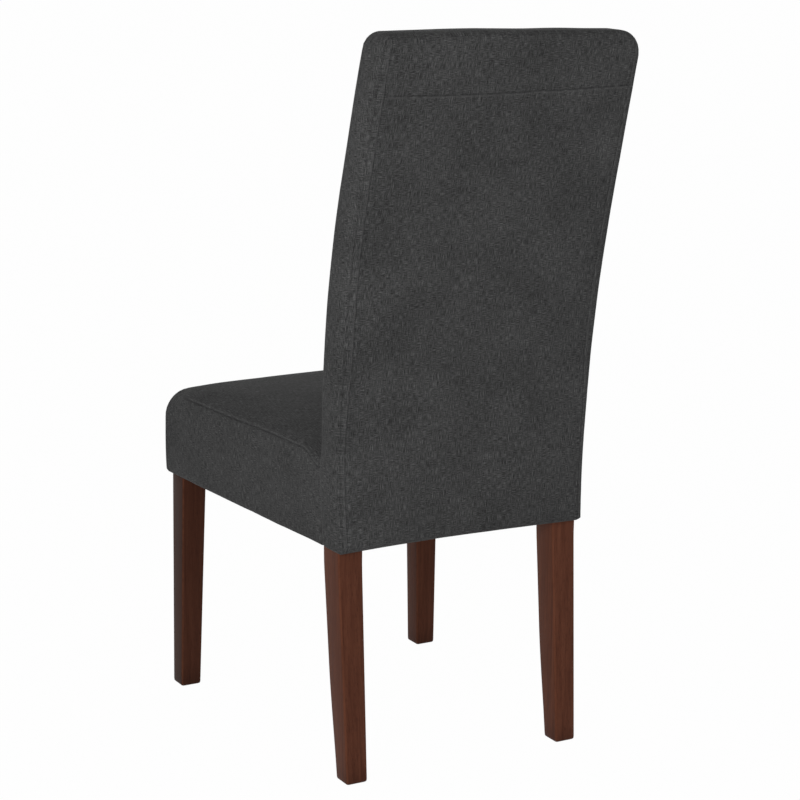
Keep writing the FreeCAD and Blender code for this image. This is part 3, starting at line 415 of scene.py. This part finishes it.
def make_back_pad():
    xs = steps(-BACK_HALF, BACK_HALF, 8 * MM, (-SEAM_REAR, SEAM_REAR))
    zs = steps(HEM, TOP, 8 * MM, (SEAM_BACK,))
    ys = steps(-BACK_THICKNESS, 0, 6 * MM, (-BACK_THICKNESS + FRONT_SEAM_INSET,))
    grid, faces = box_grid(xs, ys, zs)
    x, depth, z = grid[:, 0], grid[:, 1], grid[:, 2].copy()
    sag = seam_sag(x) * np.exp(-((z - SEAM_BACK) / 0.05) ** 2)
    inward = seam_inward(z) * np.sign(x) * np.exp(-((np.abs(x) - SEAM_REAR) / 0.03) ** 2)
    start = np.column_stack([
        x * (back_half_width(z) - 0.2 * MM) / BACK_HALF - inward,
        rear_profile(z) + depth * np.sqrt(1 + lean_slope(z) ** 2),
        z + sag,
    ])
    piece = add_mesh("back_pad", settle(back_distance, start), faces)
    swell(piece, back_distance, 4 * MM, back_held)
    points = read_points(piece.data)
    outward = gradient(back_distance, points)
    x, y, z = points[:, 0], points[:, 1], points[:, 2]
    behind = blend(0.2, 0.75, outward[:, 1])
    ahead = blend(0.25, 0.8, -outward[:, 1])
    lift = 0.45 * MM * uneven(points, 0.09, 1) + 0.2 * MM * uneven(points, 0.035, 2)
    # double seam down the rear, near both edges
    line = SEAM_REAR * back_half_width(z) / BACK_HALF - seam_inward(z) + 0.7 * MM * waves(z, 2.0)
    gap = np.abs(x) - line
    lift += behind * seam_profile(gap, 0.75, 0.45, 1)
    second = gap + SECOND_SEAM
    lift += behind * seam_profile(second, 0.35, 0.15, -1)
    lift += behind * np.exp(-((gap - 4 * MM) / (7 * MM)) ** 2) * 0.35 * MM * waves(z, 5.0)
    # painted shade along the seam grooves, kept as the seam attribute for the fabric
    painted_seam_shade = behind * np.maximum(seam_shade_mask(gap), 0.6 * seam_shade_mask(second))
    # seam across the rear
    level = SEAM_BACK + seam_sag(x)
    drop = z - level
    inside = 1 - blend(-1.0 * MM, 1.0 * MM, gap)
    lift += behind * inside * seam_profile(drop, 0.8, 0.5, -1)
    lift += behind * inside * np.exp(-((drop + 5 * MM) / (9 * MM)) ** 2) * 0.4 * MM * waves(x, 3.0)
    painted_seam_shade = np.maximum(painted_seam_shade, 1.3 * behind * inside * seam_shade_mask(drop))
    # painted highlight on the ridges beside the seams, lightened in the fabric
    painted_ridge_highlight = np.maximum(behind * inside * ridge_highlight_mask(drop, -1), 0.7 * behind * ridge_highlight_mask(gap, 1))
    # seam along the front corners, above the seat
    front_line = np.abs(x) - (back_half_width(z) - FRONT_SEAM_INSET)
    above_seat = blend(0.45, 0.48, z)
    lift += ahead * above_seat * seam_profile(front_line, 0.7, 0.4, 1)
    painted_seam_shade = np.maximum(painted_seam_shade, ahead * above_seat * seam_shade_mask(front_line))
    write_points(piece.data, points + outward * lift[:, None])
    give_value(piece, "seam", painted_seam_shade)
    give_value(piece, "painted_ridge_highlight", painted_ridge_highlight)
    return piece


def seam_inward(z):
    """The double seam stands further in above the seat"""
    return 6.5 * MM * blend(0.45, 0.60, z) - 1.8 * MM * blend(0.65, 0.85, z)


def seam_sag(x):
    """The rear seam hangs a little in the middle, with a pucker off centre"""
    pull = 1.2 * MM * np.exp(-((x + 0.045) / 0.012) ** 2)
    return -3.2 * MM * (1 - (x / SEAM_REAR) ** 2) + 1.0 * MM + pull


# The seat pad

def seat_held(points):
    """How firmly the cloth is held: all round the hem and where the seat meets the back"""
    low = 1 - blend(HEM + 8 * MM, HEM + 50 * MM, points[:, 2])
    tuck = blend(BACK_FRONT - 30 * MM, BACK_FRONT - 5 * MM, points[:, 1])
    return np.maximum(low, tuck)


def make_seat_pad():
    xs = steps(-SEAT_HALF, SEAT_HALF, 8 * MM)
    ys = steps(SEAT_FRONT, SEAT_REAR, 8 * MM, (SEAT_FRONT + FRONT_CORNER,))
    zs = steps(HEM, SEAT_TOP, 8 * MM, (SEAM_SEAT,), (0.6, 1.3, 2.1, 3.2, 4.8, 7.0, 9.5))
    grid, faces = box_grid(xs, ys, zs)
    y = grid[:, 1]
    side = blend(0.9, 1.0, np.abs(grid[:, 0]) / SEAT_HALF)
    shift = (seat_seam(y) - SEAM_SEAT) * np.exp(-((grid[:, 2] - SEAM_SEAT) / 0.05) ** 2)
    high = blend(SEAM_SEAT, SEAT_TOP, grid[:, 2])
    start = np.column_stack([
        grid[:, 0] * seat_half_width(y) / SEAT_HALF,
        y,
        grid[:, 2] + shift * side - high * 6 * MM * side,
    ])
    piece = add_mesh("seat_pad", settle(seat_distance, start), faces)
    swell(piece, seat_distance, 5 * MM, seat_held)
    points = read_points(piece.data)
    outward = gradient(seat_distance, points)
    x, y, z = points[:, 0], points[:, 1], points[:, 2]
    lateral = blend(0.25, 0.75, np.abs(outward[:, 0]))
    lift = 0.5 * MM * uneven(points, 0.08, 3) + 0.25 * MM * uneven(points, 0.03, 4)
    drop = z - seat_seam(y) - 0.5 * MM * waves(y, 1.0)
    fade = blend(SEAT_FRONT + 6 * MM, SEAT_FRONT + 26 * MM, y)
    lift += lateral * fade * seam_profile(drop, 1.3, 1.3, 1)
    crease = np.exp(-((drop - 5 * MM) / (8 * MM)) ** 2)
    lift += lateral * fade * crease * 0.55 * MM * waves(y, 6.0)
    # painted shade along the seam grooves, kept as the seam attribute for the fabric
    painted_seam_shade = lateral * fade * seam_shade_mask(drop, 1.1)
    # painted highlight on the ridge above the seam, lightened in the fabric
    painted_ridge_highlight = lateral * fade * ridge_highlight_mask(drop, 1)
    # the front edge of each side panel
    down = 1 - blend(SEAM_SEAT - 10 * MM, SEAM_SEAT, z)
    edge = y - (SEAT_FRONT + FRONT_CORNER) - 0.5 * MM * waves(z, 4.0)
    lift += lateral * down * seam_profile(edge, 0.5, 0.3, -1)
    painted_seam_shade = np.maximum(painted_seam_shade, 0.6 * lateral * down * seam_shade_mask(edge))
    write_points(piece.data, points + outward * lift[:, None])
    give_value(piece, "seam", painted_seam_shade)
    give_value(piece, "painted_ridge_highlight", painted_ridge_highlight)
    return piece


# Legs, from the levels of their solids

def leg_levels(node):
    """Box of the solid's section at each of its heights"""
    points = read_points(nodes[node].data)
    levels = {}
    for x, y, z in points:
        levels.setdefault(round(z * 1000), []).append((x, y, z))
    widest = max(np.ptp(np.array(row)[:, 0]) for row in levels.values())
    rows = []
    for key in sorted(levels):
        row = np.array(levels[key])
        if np.ptp(row[:, 0]) > 0.7 * widest and np.ptp(row[:, 1]) > 0.7 * widest:
            rows.append((row[:, 2].mean(), row[:, 0].min(), row[:, 0].max(),
                         row[:, 1].min(), row[:, 1].max()))
    return np.array(rows)


# Each leg's eased foot: heights above its end, and how far the end is drawn in there
FOOT_EASE = ((0.0, 2.0 * MM), (0.7 * MM, 0.9 * MM), (2.0 * MM, 0.2 * MM), (5.0 * MM, 0.0))
LEG_LONGER = 1.6 * MM
LEG_WIDER = 0.5 * MM
LEG_RADIUS = 2.6 * MM
POST_BELOW_TOP = 50 * MM


def make_leg(node, name, tone, side_painted_shade=1.0, forward=0.0):
    """A leg with rounded arrises: tone is the depth of its stain, lowered on the front legs as painted
    shade, and side_painted_shade is painted shade on its +X face; forward deepens a rear leg towards the
    front, most at the hem and not at the foot"""
    rows = leg_levels(node)
    bottom = rows[0, 0] - LEG_LONGER
    top = min(rows[-1, 0], TOP - POST_BELOW_TOP)
    levels = [(bottom + rise, inset - LEG_WIDER) for rise, inset in FOOT_EASE]
    levels += [(z, -LEG_WIDER) for z in np.arange(bottom + 15 * MM, top, 12 * MM)]
    levels.append((top, -LEG_WIDER))
    foot_height = levels[len(FOOT_EASE) - 1][0]
    turn = (0, 22.5, 45, 67.5, 90)
    points, faces, wear_and_highlight, stain_and_shade = [], [], [], []
    for z, inset in levels:
        section = max(z, foot_height)
        x0, x1, y0, y1 = [np.interp(section, rows[:, 0], rows[:, c]) for c in (1, 2, 3, 4)]
        if z >= foot_height:
            y0 -= forward * blend(-0.02, 0.16, z)
        x0, x1, y0, y1 = x0 + inset, x1 - inset, y0 + inset, y1 - inset
        # darker towards the foot: 0.72 of the tone at the bottom, the full tone 35 mm up
        darker_to_foot = 0.72 + 0.28 * blend(0, 0.035, z - bottom)
        for cx, cy, start in ((x1, y1, 0), (x0, y1, 90), (x0, y0, 180), (x1, y0, 270)):
            ox = cx - math.copysign(LEG_RADIUS, cx - (x0 + x1) / 2)
            oy = cy - math.copysign(LEG_RADIUS, cy - (y0 + y1) / 2)
            for angle in turn:
                a = math.radians(start + angle)
                points.append((ox + LEG_RADIUS * math.cos(a), oy + LEG_RADIUS * math.sin(a), z))
                # painted highlight along each rounded arris, partly wear
                wear_and_highlight.append(math.sin(math.radians(2 * angle)) ** 0.5 if 0 < angle < 90 else 0.0)
                # the stain's depth times painted shade: the front legs' tone and the shade on the +X
                # face
                stain_and_shade.append(tone * darker_to_foot * (1 - (1 - side_painted_shade) * max(math.cos(a), 0)))
    ring = 4 * len(turn)
    for level in range(len(levels) - 1):
        for i in range(ring):
            j = (i + 1) % ring
            low, high = level * ring, (level + 1) * ring
            faces.append((low + i, low + j, high + j, high + i))
    faces.append(tuple(range(ring)))
    faces.append(tuple(range((len(levels) - 1) * ring, len(levels) * ring)))
    piece = add_mesh(name, points, faces)
    give_value(piece, "arris", wear_and_highlight)
    give_value(piece, "stain_and_shade", stain_and_shade)
    return piece


def make_rear_board():
    """The board inside the rear of the back, eased where the pad's corners are rounded"""
    source = nodes["back_rear_board"].data
    points = read_points(source)
    cover = 5 * MM
    outside = np.maximum(back_distance(points) + cover, 0)
    points = points - gradient(back_distance, points) * outside[:, None]
    faces = [tuple(p.vertices) for p in source.polygons]
    return add_mesh("rear_board_sheet", points, faces, smooth=False)


def make_glide(node, name):
    """A turned plastic disc with a rounded lower edge"""
    low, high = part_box(node)
    cx, cy, radius = (low.x + high.x) / 2, (low.y + high.y) / 2, (high.x - low.x) / 2
    height = high.z - low.z
    turned = [(0.0, 0.0), (0.55, 0.0), (0.84, 0.0), (0.95, 0.12), (1.0, 0.45), (1.0, 1.0), (0.0, 1.0)]
    count, points, faces = 32, [], []
    for share, rise in turned:
        for i in range(count):
            a = 2 * math.pi * i / count
            reach = max(share, 0.02) * radius
            points.append((cx + reach * math.cos(a), cy + reach * math.sin(a), low.z + rise * height))
    for level in range(len(turned) - 1):
        for i in range(count):
            j = (i + 1) % count
            faces.append((level * count + i, level * count + j,
                          (level + 1) * count + j, (level + 1) * count + i))
    faces.append(tuple(range(count)))
    faces.append(tuple(range((len(turned) - 1) * count, len(turned) * count)))
    return add_mesh(name, points, faces)


# The dust cover under the seat

def make_dust_cover():
    """A thin cloth that sags a little, with notches round the front legs"""
    inset = 13 * MM
    gap = 3 * MM
    front, rear = SEAT_FRONT + inset, BACK_FRONT - 2 * MM
    columns, rows = 40, 42
    legs = []
    for node in ("front_left_leg", "front_right_leg"):
        low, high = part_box(node)
        legs.append((low.x - gap, high.x + gap, low.y - gap, high.y + gap))
    points, faces = [], []
    for j in range(rows + 1):
        y = front + (rear - front) * j / rows
        half = seat_half_width(y) - inset
        for i in range(columns + 1):
            x = half * (2 * i / columns - 1)
            sag = 1.6 * MM * math.sin(math.pi * i / columns) * math.sin(math.pi * j / rows)
            ripple = 0.25 * MM * noise.noise(Vector((x, y, 0)) / 0.03)
            points.append((x, y, float(seat_hem(y)) - 0.9 * MM - sag - ripple))
    for j in range(rows):
        for i in range(columns):
            corner = j * (columns + 1) + i
            face = (corner, corner + 1, corner + columns + 2, corner + columns + 1)
            cx = sum(points[v][0] for v in face) / 4
            cy = sum(points[v][1] for v in face) / 4
            if not any(a < cx < b and c < cy < d for a, b, c, d in legs):
                faces.append(face)
    piece = add_mesh("dust_sheet", points, faces)
    return piece


# Materials

class Graph:
    """Short names for making shader nodes"""

    def __init__(self, name):
        self.material = bpy.data.materials.new(name)
        self.material.use_nodes = True
        self.tree = self.material.node_tree
        self.shader = self.tree.nodes["Principled BSDF"]

    def add(self, kind, inputs=None, **settings):
        node = self.tree.nodes.new(kind)
        for key, value in settings.items():
            setattr(node, key, value)
        for key, value in (inputs or {}).items():
            self.feed(node.inputs[key], value)
        return node

    def feed(self, socket, value):
        if isinstance(value, bpy.types.NodeSocket):
            self.tree.links.new(value, socket)
        else:
            socket.default_value = value

    def math(self, operation, *values):
        node = self.add("ShaderNodeMath", operation=operation)
        for index, value in enumerate(values):
            self.feed(node.inputs[index], value)
        return node.outputs[0]

    def mix(self, factor, a, b):
        node = self.add("ShaderNodeMix", {0: factor, 2: a, 3: b}, data_type="FLOAT")
        return node.outputs[0]

    def colour(self, factor, a, b, blend_type="MIX"):
        node = self.add("ShaderNodeMix", data_type="RGBA", blend_type=blend_type)
        self.feed(node.inputs[0], factor)
        self.feed(node.inputs[6], a)
        self.feed(node.inputs[7], b)
        return node.outputs[2]

    def place(self):
        """Coordinates of the piece, by the names Object, Normal and so on"""
        return self.add("ShaderNodeTexCoord").outputs

    def split(self, vector):
        return self.add("ShaderNodeSeparateXYZ", {0: vector}).outputs

    def join(self, x, y, z=0.0):
        return self.add("ShaderNodeCombineXYZ", {0: x, 1: y, 2: z}).outputs[0]

    def noise(self, vector, scale=1.0, detail=2.0, rough=0.5):
        return self.add("ShaderNodeTexNoise", {
            "Vector": vector, "Scale": scale, "Detail": detail, "Roughness": rough,
        }).outputs[0]

    def spread(self, value, low, high, out_low=0.0, out_high=1.0):
        """Maps low to high on to out_low to out_high, held at both ends"""
        return self.add("ShaderNodeMapRange", {
            0: value, 1: low, 2: high, 3: out_low, 4: out_high,
        }).outputs[0]

    def ramp(self, value, stops):
        node = self.add("ShaderNodeValToRGB", {0: value})
        elements = node.color_ramp.elements
        while len(elements) < len(stops):
            elements.new(0.5)
        for element, (place, colour) in zip(elements, stops):
            element.position = place
            element.color = (*colour, 1)
        return node.outputs[0]

    def bump(self, height, distance, strength=1.0, normal=None):
        inputs = {"Height": height, "Distance": distance, "Strength": strength}
        if normal is not None:
            inputs["Normal"] = normal
        return self.add("ShaderNodeBump", inputs).outputs[0]

    def finish(self, **inputs):
        for key, value in inputs.items():
            self.feed(self.shader.inputs[key.replace("_", " ")], value)
        return self.material


def cloth_axes(graph):
    """Two directions in the cloth at each point, in millimetres, chosen by which way it faces"""
    place = graph.place()
    x, y, z = graph.split(place["Object"])
    nx, ny, nz = [graph.math("ABSOLUTE", n) for n in graph.split(place["Normal"])]
    sideways = graph.math("GREATER_THAN", nx, ny)
    upward = graph.math("GREATER_THAN", nz, 0.72)
    across = graph.mix(upward, graph.mix(sideways, x, y), x)
    along = graph.mix(upward, z, y)
    return graph.math("MULTIPLY", across, 1000.0), graph.math("MULTIPLY", along, 1000.0)


def make_fabric():
    """Heathered plain weave with thick and thin yarns both ways"""
    g = Graph("cover_fabric")
    u, v = cloth_axes(g)
    place = g.place()["Object"]

    def yarn(a, b, wide, long, seed):
        spot = g.join(g.math("DIVIDE", a, wide), g.math("DIVIDE", b, long), seed)
        return g.noise(spot, 1.0, 1.5, 0.55)

    warp = yarn(u, v, 0.85, 11.0, 3.0)
    weft = yarn(v, u, 0.85, 8.0, 11.0)
    fine = yarn(u, v, 0.7, 1.6, 23.0)
    leading = g.spread(g.noise(place, 85.0, 1.0, 0.5), 0.36, 0.64, 0.22, 0.84)
    threads = g.mix(leading, weft, warp)
    cloud = g.noise(place, 14.0, 2.0, 0.5)
    tone = 0.0
    for layer, weight in ((threads, 0.74), (fine, 0.26), (cloud, 0.10)):
        tone = g.math("ADD", tone, g.math("MULTIPLY", layer, weight))
    colour = g.ramp(g.spread(tone, 0.375, 0.725), (
        (0.0, (0.0125, 0.0125, 0.0125)),
        (0.35, (0.0385, 0.0385, 0.0385)),
        (0.62, (0.0700, 0.0700, 0.0700)),
        (1.0, (0.1450, 0.1450, 0.1450)),
    ))
    # painted shade in the seam grooves, broken like stitches by noise
    seam = g.add("ShaderNodeAttribute", attribute_name="seam").outputs["Fac"]
    broken = g.noise(place, 210.0, 1.0, 0.5)
    broken = g.spread(broken, 0.34, 0.62, 0.35, 1.0)
    dark = g.math("MULTIPLY", g.math("MULTIPLY", seam, broken), 0.42)
    colour = g.colour(dark, colour, (0.012, 0.012, 0.0125, 1))
    # painted highlight on the ridges beside the seams
    painted_ridge_highlight = g.add("ShaderNodeAttribute", attribute_name="painted_ridge_highlight").outputs["Fac"]
    light = g.math("MULTIPLY", g.math("MULTIPLY", painted_ridge_highlight, broken), 0.30)
    colour = g.colour(light, colour, (0.135, 0.135, 0.135, 1))
    thread_mm = 0.82
    thread = math.pi / thread_mm
    over = g.math("MULTIPLY", g.math("SINE", g.math("MULTIPLY", u, thread)),
                  g.math("SINE", g.math("MULTIPLY", v, thread)))
    height = g.math("ADD", g.math("MULTIPLY", over, 0.25), g.math("MULTIPLY", tone, 1.6))
    normal = g.bump(height, 0.35 * MM, 0.55)
    return g.finish(
        Base_Color=colour, Roughness=0.92, Normal=normal, Specular_IOR_Level=0.10,
        Sheen_Weight=0.05, Sheen_Roughness=0.45, Sheen_Tint=(0.8, 0.8, 0.8, 1),
    )


def make_wood(name, dark, middle, light, shine=0.3, arris=None):
    """Straight-grained wood, the grain along Z"""
    g = Graph(name)
    place = g.place()["Object"]
    x, y, z = g.split(place)
    flow = g.noise(g.join(g.math("MULTIPLY", x, 20.0), g.math("MULTIPLY", y, 20.0),
                          g.math("MULTIPLY", z, 3.0)), 1.0, 2.0)
    bend = g.math("MULTIPLY", flow, 0.018)
    gx = g.math("ADD", x, bend)
    figure = g.noise(g.join(g.math("MULTIPLY", gx, 190.0), g.math("MULTIPLY", y, 190.0),
                            g.math("MULTIPLY", z, 5.0)), 1.0, 4.0, 0.6)
    pores = g.noise(g.join(g.math("MULTIPLY", gx, 1500.0), g.math("MULTIPLY", y, 1500.0),
                           g.math("MULTIPLY", z, 42.0)), 1.0, 1.0)
    patch = g.noise(g.join(g.math("MULTIPLY", x, 9.0), g.math("MULTIPLY", y, 9.0),
                           g.math("MULTIPLY", z, 4.0)), 1.0, 2.0)
    tone = g.math("ADD", g.math("MULTIPLY", figure, 0.62), g.math("MULTIPLY", patch, 0.38))
    colour = g.ramp(g.spread(tone, 0.30, 0.70), ((0.0, dark), (0.5, middle), (1.0, light)))
    pore = g.spread(pores, 0.56, 0.70)
    colour = g.colour(g.math("MULTIPLY", pore, 0.45), colour, (*[c * 0.45 for c in dark], 1))
    if arris:
        # the stain's depth with painted shade on the front legs and on one face, darker towards the foot
        stain_and_shade = g.add("ShaderNodeAttribute", attribute_name="stain_and_shade").outputs["Fac"]
        colour = g.colour(1.0, colour, g.join(stain_and_shade, stain_and_shade, stain_and_shade), "MULTIPLY")
        # painted highlight along the rounded arrises, partly wear, in the arris colour and broken by
        # noise
        edge = g.add("ShaderNodeAttribute", attribute_name="arris").outputs["Fac"]
        wear_and_highlight_patches = g.spread(g.noise(place, 90.0, 2.0), 0.25, 0.7, 0.35, 1.0)
        arris_highlight_and_wear = g.math("MULTIPLY", g.math("MULTIPLY", edge, wear_and_highlight_patches), 0.42)
        colour = g.colour(arris_highlight_and_wear, colour, (*arris, 1))
    height = g.math("SUBTRACT", g.math("MULTIPLY", figure, 0.4), g.math("MULTIPLY", pore, 0.7))
    rough = g.spread(figure, 0.3, 0.7, 0.44, 0.54)
    return g.finish(
        Base_Color=colour, Roughness=rough, Normal=g.bump(height, 0.12 * MM, 0.5),
        Specular_IOR_Level=shine,
    )


def make_weave(name, dark, light, thread_mm):
    """Woven tape and plain technical cloths"""
    g = Graph(name)
    u, v = cloth_axes(g)
    size = math.pi / thread_mm
    over = g.math("MULTIPLY", g.math("SINE", g.math("MULTIPLY", u, size)),
                  g.math("SINE", g.math("MULTIPLY", v, size)))
    patch = g.noise(g.place()["Object"], 60.0, 3.0)
    tone = g.math("ADD", g.math("MULTIPLY", over, 0.18), patch)
    colour = g.ramp(g.spread(tone, 0.25, 0.75), ((0.0, dark), (1.0, light)))
    return g.finish(Base_Color=colour, Roughness=0.9, Normal=g.bump(over, thread_mm * 0.2 * MM, 0.6))


def make_porous(name, dark, light, grain, rough=0.95):
    """Foam, felt, wadding and board"""
    g = Graph(name)
    place = g.place()["Object"]
    cells = g.noise(place, grain, 4.0, 0.65)
    cloud = g.noise(place, 22.0, 2.0)
    tone = g.math("ADD", g.math("MULTIPLY", cells, 0.7), g.math("MULTIPLY", cloud, 0.3))
    colour = g.ramp(g.spread(tone, 0.3, 0.7), ((0.0, dark), (1.0, light)))
    return g.finish(Base_Color=colour, Roughness=rough, Normal=g.bump(cells, 0.4 * MM, 0.5))


def make_steel():
    g = Graph("steel_fasteners")
    place = g.place()["Object"]
    marks = g.noise(place, 900.0, 2.0)
    colour = g.ramp(marks, ((0.3, (0.46, 0.46, 0.45)), (0.7, (0.66, 0.66, 0.64))))
    return g.finish(Base_Color=colour, Metallic=1.0, Roughness=g.spread(marks, 0.3, 0.7, 0.28, 0.42),
                    Normal=g.bump(marks, 0.02 * MM, 0.3))


def make_plastic():
    g = Graph("glide_plastic")
    place = g.place()["Object"]
    grain = g.noise(place, 1400.0, 2.0)
    scuffs = g.spread(g.noise(place, 130.0, 4.0, 0.7), 0.52, 0.7)
    colour = g.colour(g.math("MULTIPLY", scuffs, 0.3), (0.055, 0.042, 0.036, 1), (0.11, 0.095, 0.085, 1))
    return g.finish(Base_Color=colour, Roughness=g.spread(grain, 0.3, 0.7, 0.5, 0.62),
                    Normal=g.bump(grain, 0.05 * MM, 0.4))


materials = {
    "cover_fabric": make_fabric(),
    "stained_wood": make_wood("stained_wood", (0.064, 0.0200, 0.0110), (0.104, 0.0355, 0.0200),
                              # the last colour is the painted highlight along the arrises, partly wear
                              (0.140, 0.0510, 0.0290), 0.06, (0.180, 0.062, 0.032)),
    "frame_wood": make_wood("frame_wood", (0.36, 0.23, 0.12), (0.52, 0.37, 0.21),
                            (0.66, 0.50, 0.31), 0.2),
    "steel_fasteners": make_steel(),
    "glide_plastic": make_plastic(),
    "webbing": make_weave("webbing", (0.16, 0.13, 0.10), (0.42, 0.37, 0.29), 1.6),
    "foam": make_porous("foam", (0.62, 0.57, 0.42), (0.86, 0.82, 0.68), 700.0),
    "wadding": make_porous("wadding", (0.70, 0.70, 0.69), (0.90, 0.90, 0.89), 260.0),
    "insulator_felt": make_porous("insulator_felt", (0.20, 0.19, 0.18), (0.46, 0.45, 0.43), 420.0),
    "fibreboard": make_porous("fibreboard", (0.30, 0.22, 0.14), (0.50, 0.39, 0.26), 520.0, 0.8),
    "dust_cloth": make_weave("dust_cloth", (0.010, 0.010, 0.010), (0.028, 0.028, 0.028), 0.9),
}


def dress(piece, slot):
    piece.data.materials.clear()
    piece.data.materials.append(materials[slot])


# Putting the pieces on the frame

def place_piece(piece, slot, *replaced):
    dress(piece, slot)
    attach(piece, "root")
    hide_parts(*replaced)


back_pad = make_back_pad()
place_piece(back_pad, "cover_fabric", "back_front_cover", "back_left_panel", "back_right_panel",
            "back_rear_panel", "back_wadding", "back_foam", "back_rear_foam")

seat_pad = make_seat_pad()
place_piece(seat_pad, "cover_fabric", "seat_top_cover", "seat_left_panel", "seat_right_panel",
            "seat_wadding", "seat_foam", "seat_front_foam", "seat_insulator")

# the front legs' lower tones are painted shade under the seat, and the front left leg's +X face gets
# painted shade too
for leg, tone, side_painted_shade in (("front_left_leg", 0.60, 0.60), ("front_right_leg", 0.86, 1.0)):
    place_piece(make_leg(leg, leg + "_wood", tone, side_painted_shade), "stained_wood", leg)

for leg, tone in (("rear_left_post", 1.0), ("rear_right_post", 1.08)):
    place_piece(make_leg(leg, leg + "_wood", tone, forward=7 * MM), "stained_wood", leg)

place_piece(make_rear_board(), "fibreboard", "back_rear_board")

for corner in ("front_left", "front_right", "rear_left", "rear_right"):
    glide = corner + "_glide"
    place_piece(make_glide(glide, glide + "_disc"), "glide_plastic", glide)

place_piece(make_dust_cover(), "dust_cloth", "dust_cover")

for part in frame["record"]["subparts"]:
    dress(nodes[part["node"]], part["material_slot"])


# Floor, light and camera

def make_floor():
    """A pale floor that looks almost white and keeps a little of the chair's shadow"""
    size = 60.0
    white_share = 0.985
    piece = add_mesh("floor", [(-size, -size, 0), (size, -size, 0), (size, size, 0), (-size, size, 0)],
                     [(0, 1, 2, 3)], smooth=False)
    g = Graph("pale_floor")
    g.finish(Base_Color=(0.85, 0.85, 0.85, 1), Roughness=0.9, Specular_IOR_Level=0.1)
    ray = g.add("ShaderNodeLightPath").outputs
    seen = g.math("MAXIMUM", g.math("MAXIMUM", ray["Is Camera Ray"], ray["Is Glossy Ray"]),
                  ray["Is Transmission Ray"])
    glow = g.add("ShaderNodeEmission", {"Color": (1, 1, 1, 1), "Strength": 1.0})
    mixed = g.add("ShaderNodeMixShader")
    g.feed(mixed.inputs[0], g.math("MULTIPLY", seen, white_share))
    g.tree.links.new(g.shader.outputs[0], mixed.inputs[1])
    g.tree.links.new(glow.outputs[0], mixed.inputs[2])
    g.tree.links.new(mixed.outputs[0], g.tree.nodes["Material Output"].inputs[0])
    piece.data.materials.append(g.material)


def make_world(level, overhead):
    """White walls all round the chair, dimmer overhead"""
    world = bpy.data.worlds.new("studio")
    bpy.context.scene.world = world
    world.use_nodes = True
    tree = world.node_tree
    lit = tree.nodes["Background"]
    lit.inputs[0].default_value = (1, 1, 1, 1)
    way = tree.nodes.new("ShaderNodeTexCoord")
    parts = tree.nodes.new("ShaderNodeSeparateXYZ")
    tree.links.new(way.outputs["Generated"], parts.inputs[0])
    rise = tree.nodes.new("ShaderNodeMapRange")
    rise.inputs[3].default_value = level
    rise.inputs[4].default_value = overhead
    tree.links.new(parts.outputs[2], rise.inputs[0])
    tree.links.new(rise.outputs[0], lit.inputs[1])
    white = tree.nodes.new("ShaderNodeBackground")
    white.inputs[0].default_value = (1, 1, 1, 1)
    white.inputs[1].default_value = 1.0
    ray = tree.nodes.new("ShaderNodeLightPath")
    seen = ray.outputs["Is Camera Ray"]
    for other in ("Is Glossy Ray", "Is Transmission Ray"):
        either = tree.nodes.new("ShaderNodeMath")
        either.operation = "MAXIMUM"
        tree.links.new(seen, either.inputs[0])
        tree.links.new(ray.outputs[other], either.inputs[1])
        seen = either.outputs[0]
    mixed = tree.nodes.new("ShaderNodeMixShader")
    tree.links.new(seen, mixed.inputs[0])
    tree.links.new(lit.outputs[0], mixed.inputs[1])
    tree.links.new(white.outputs[0], mixed.inputs[2])
    tree.links.new(mixed.outputs[0], tree.nodes["World Output"].inputs[0])


def make_lamp(name, place, target, size, power):
    lamp = bpy.data.lights.new(name, "AREA")
    lamp.shape = "SQUARE"
    lamp.size = size
    lamp.energy = power
    holder = bpy.data.objects.new(name, lamp)
    holder.location = place
    aim = Vector(target) - Vector(place)
    holder.rotation_mode = "QUATERNION"
    holder.rotation_quaternion = aim.to_track_quat("-Z", "Y")
    bpy.context.scene.collection.objects.link(holder)


def make_camera():
    """The photograph's viewpoint, measured from the front of the chair's front legs"""
    azimuth, elevation, roll = [math.radians(a) for a in (150.55, 13.02, 0.48)]
    distance, lens = 3.370, 105.3
    leg_front = SEAT_FRONT + 13.6 * MM
    target = Vector((-0.0304, 0.250 + leg_front, 0.4637))
    behind = Vector((math.sin(azimuth) * math.cos(elevation), -math.cos(azimuth) * math.cos(elevation),
                     math.sin(elevation)))
    right = (-behind).cross(Vector((0, 0, 1))).normalized()
    up = right.cross(-behind)
    turned_right = math.cos(roll) * right + math.sin(roll) * up
    turned_up = -math.sin(roll) * right + math.cos(roll) * up
    data = bpy.data.cameras.new("camera")
    data.sensor_width = 36.0
    data.lens = lens
    data.clip_end = 200.0
    camera = bpy.data.objects.new("camera", data)
    bpy.context.scene.collection.objects.link(camera)
    turn = Matrix((turned_right, turned_up, behind)).transposed().to_4x4()
    camera.matrix_world = Matrix.Translation(target + behind * distance) @ turn
    bpy.context.scene.camera = camera


make_floor()
make_world(0.46, 0.16)
make_lamp("key_lamp", (2.3, 2.2, 1.3), (0, 0, 0.6), 1.4, 49.0)
make_lamp("fill_lamp", (-1.9, 1.8, 1.2), (0, 0, 0.5), 1.8, 6.0)
make_camera()
bpy.context.scene.view_settings.view_transform = "Standard"
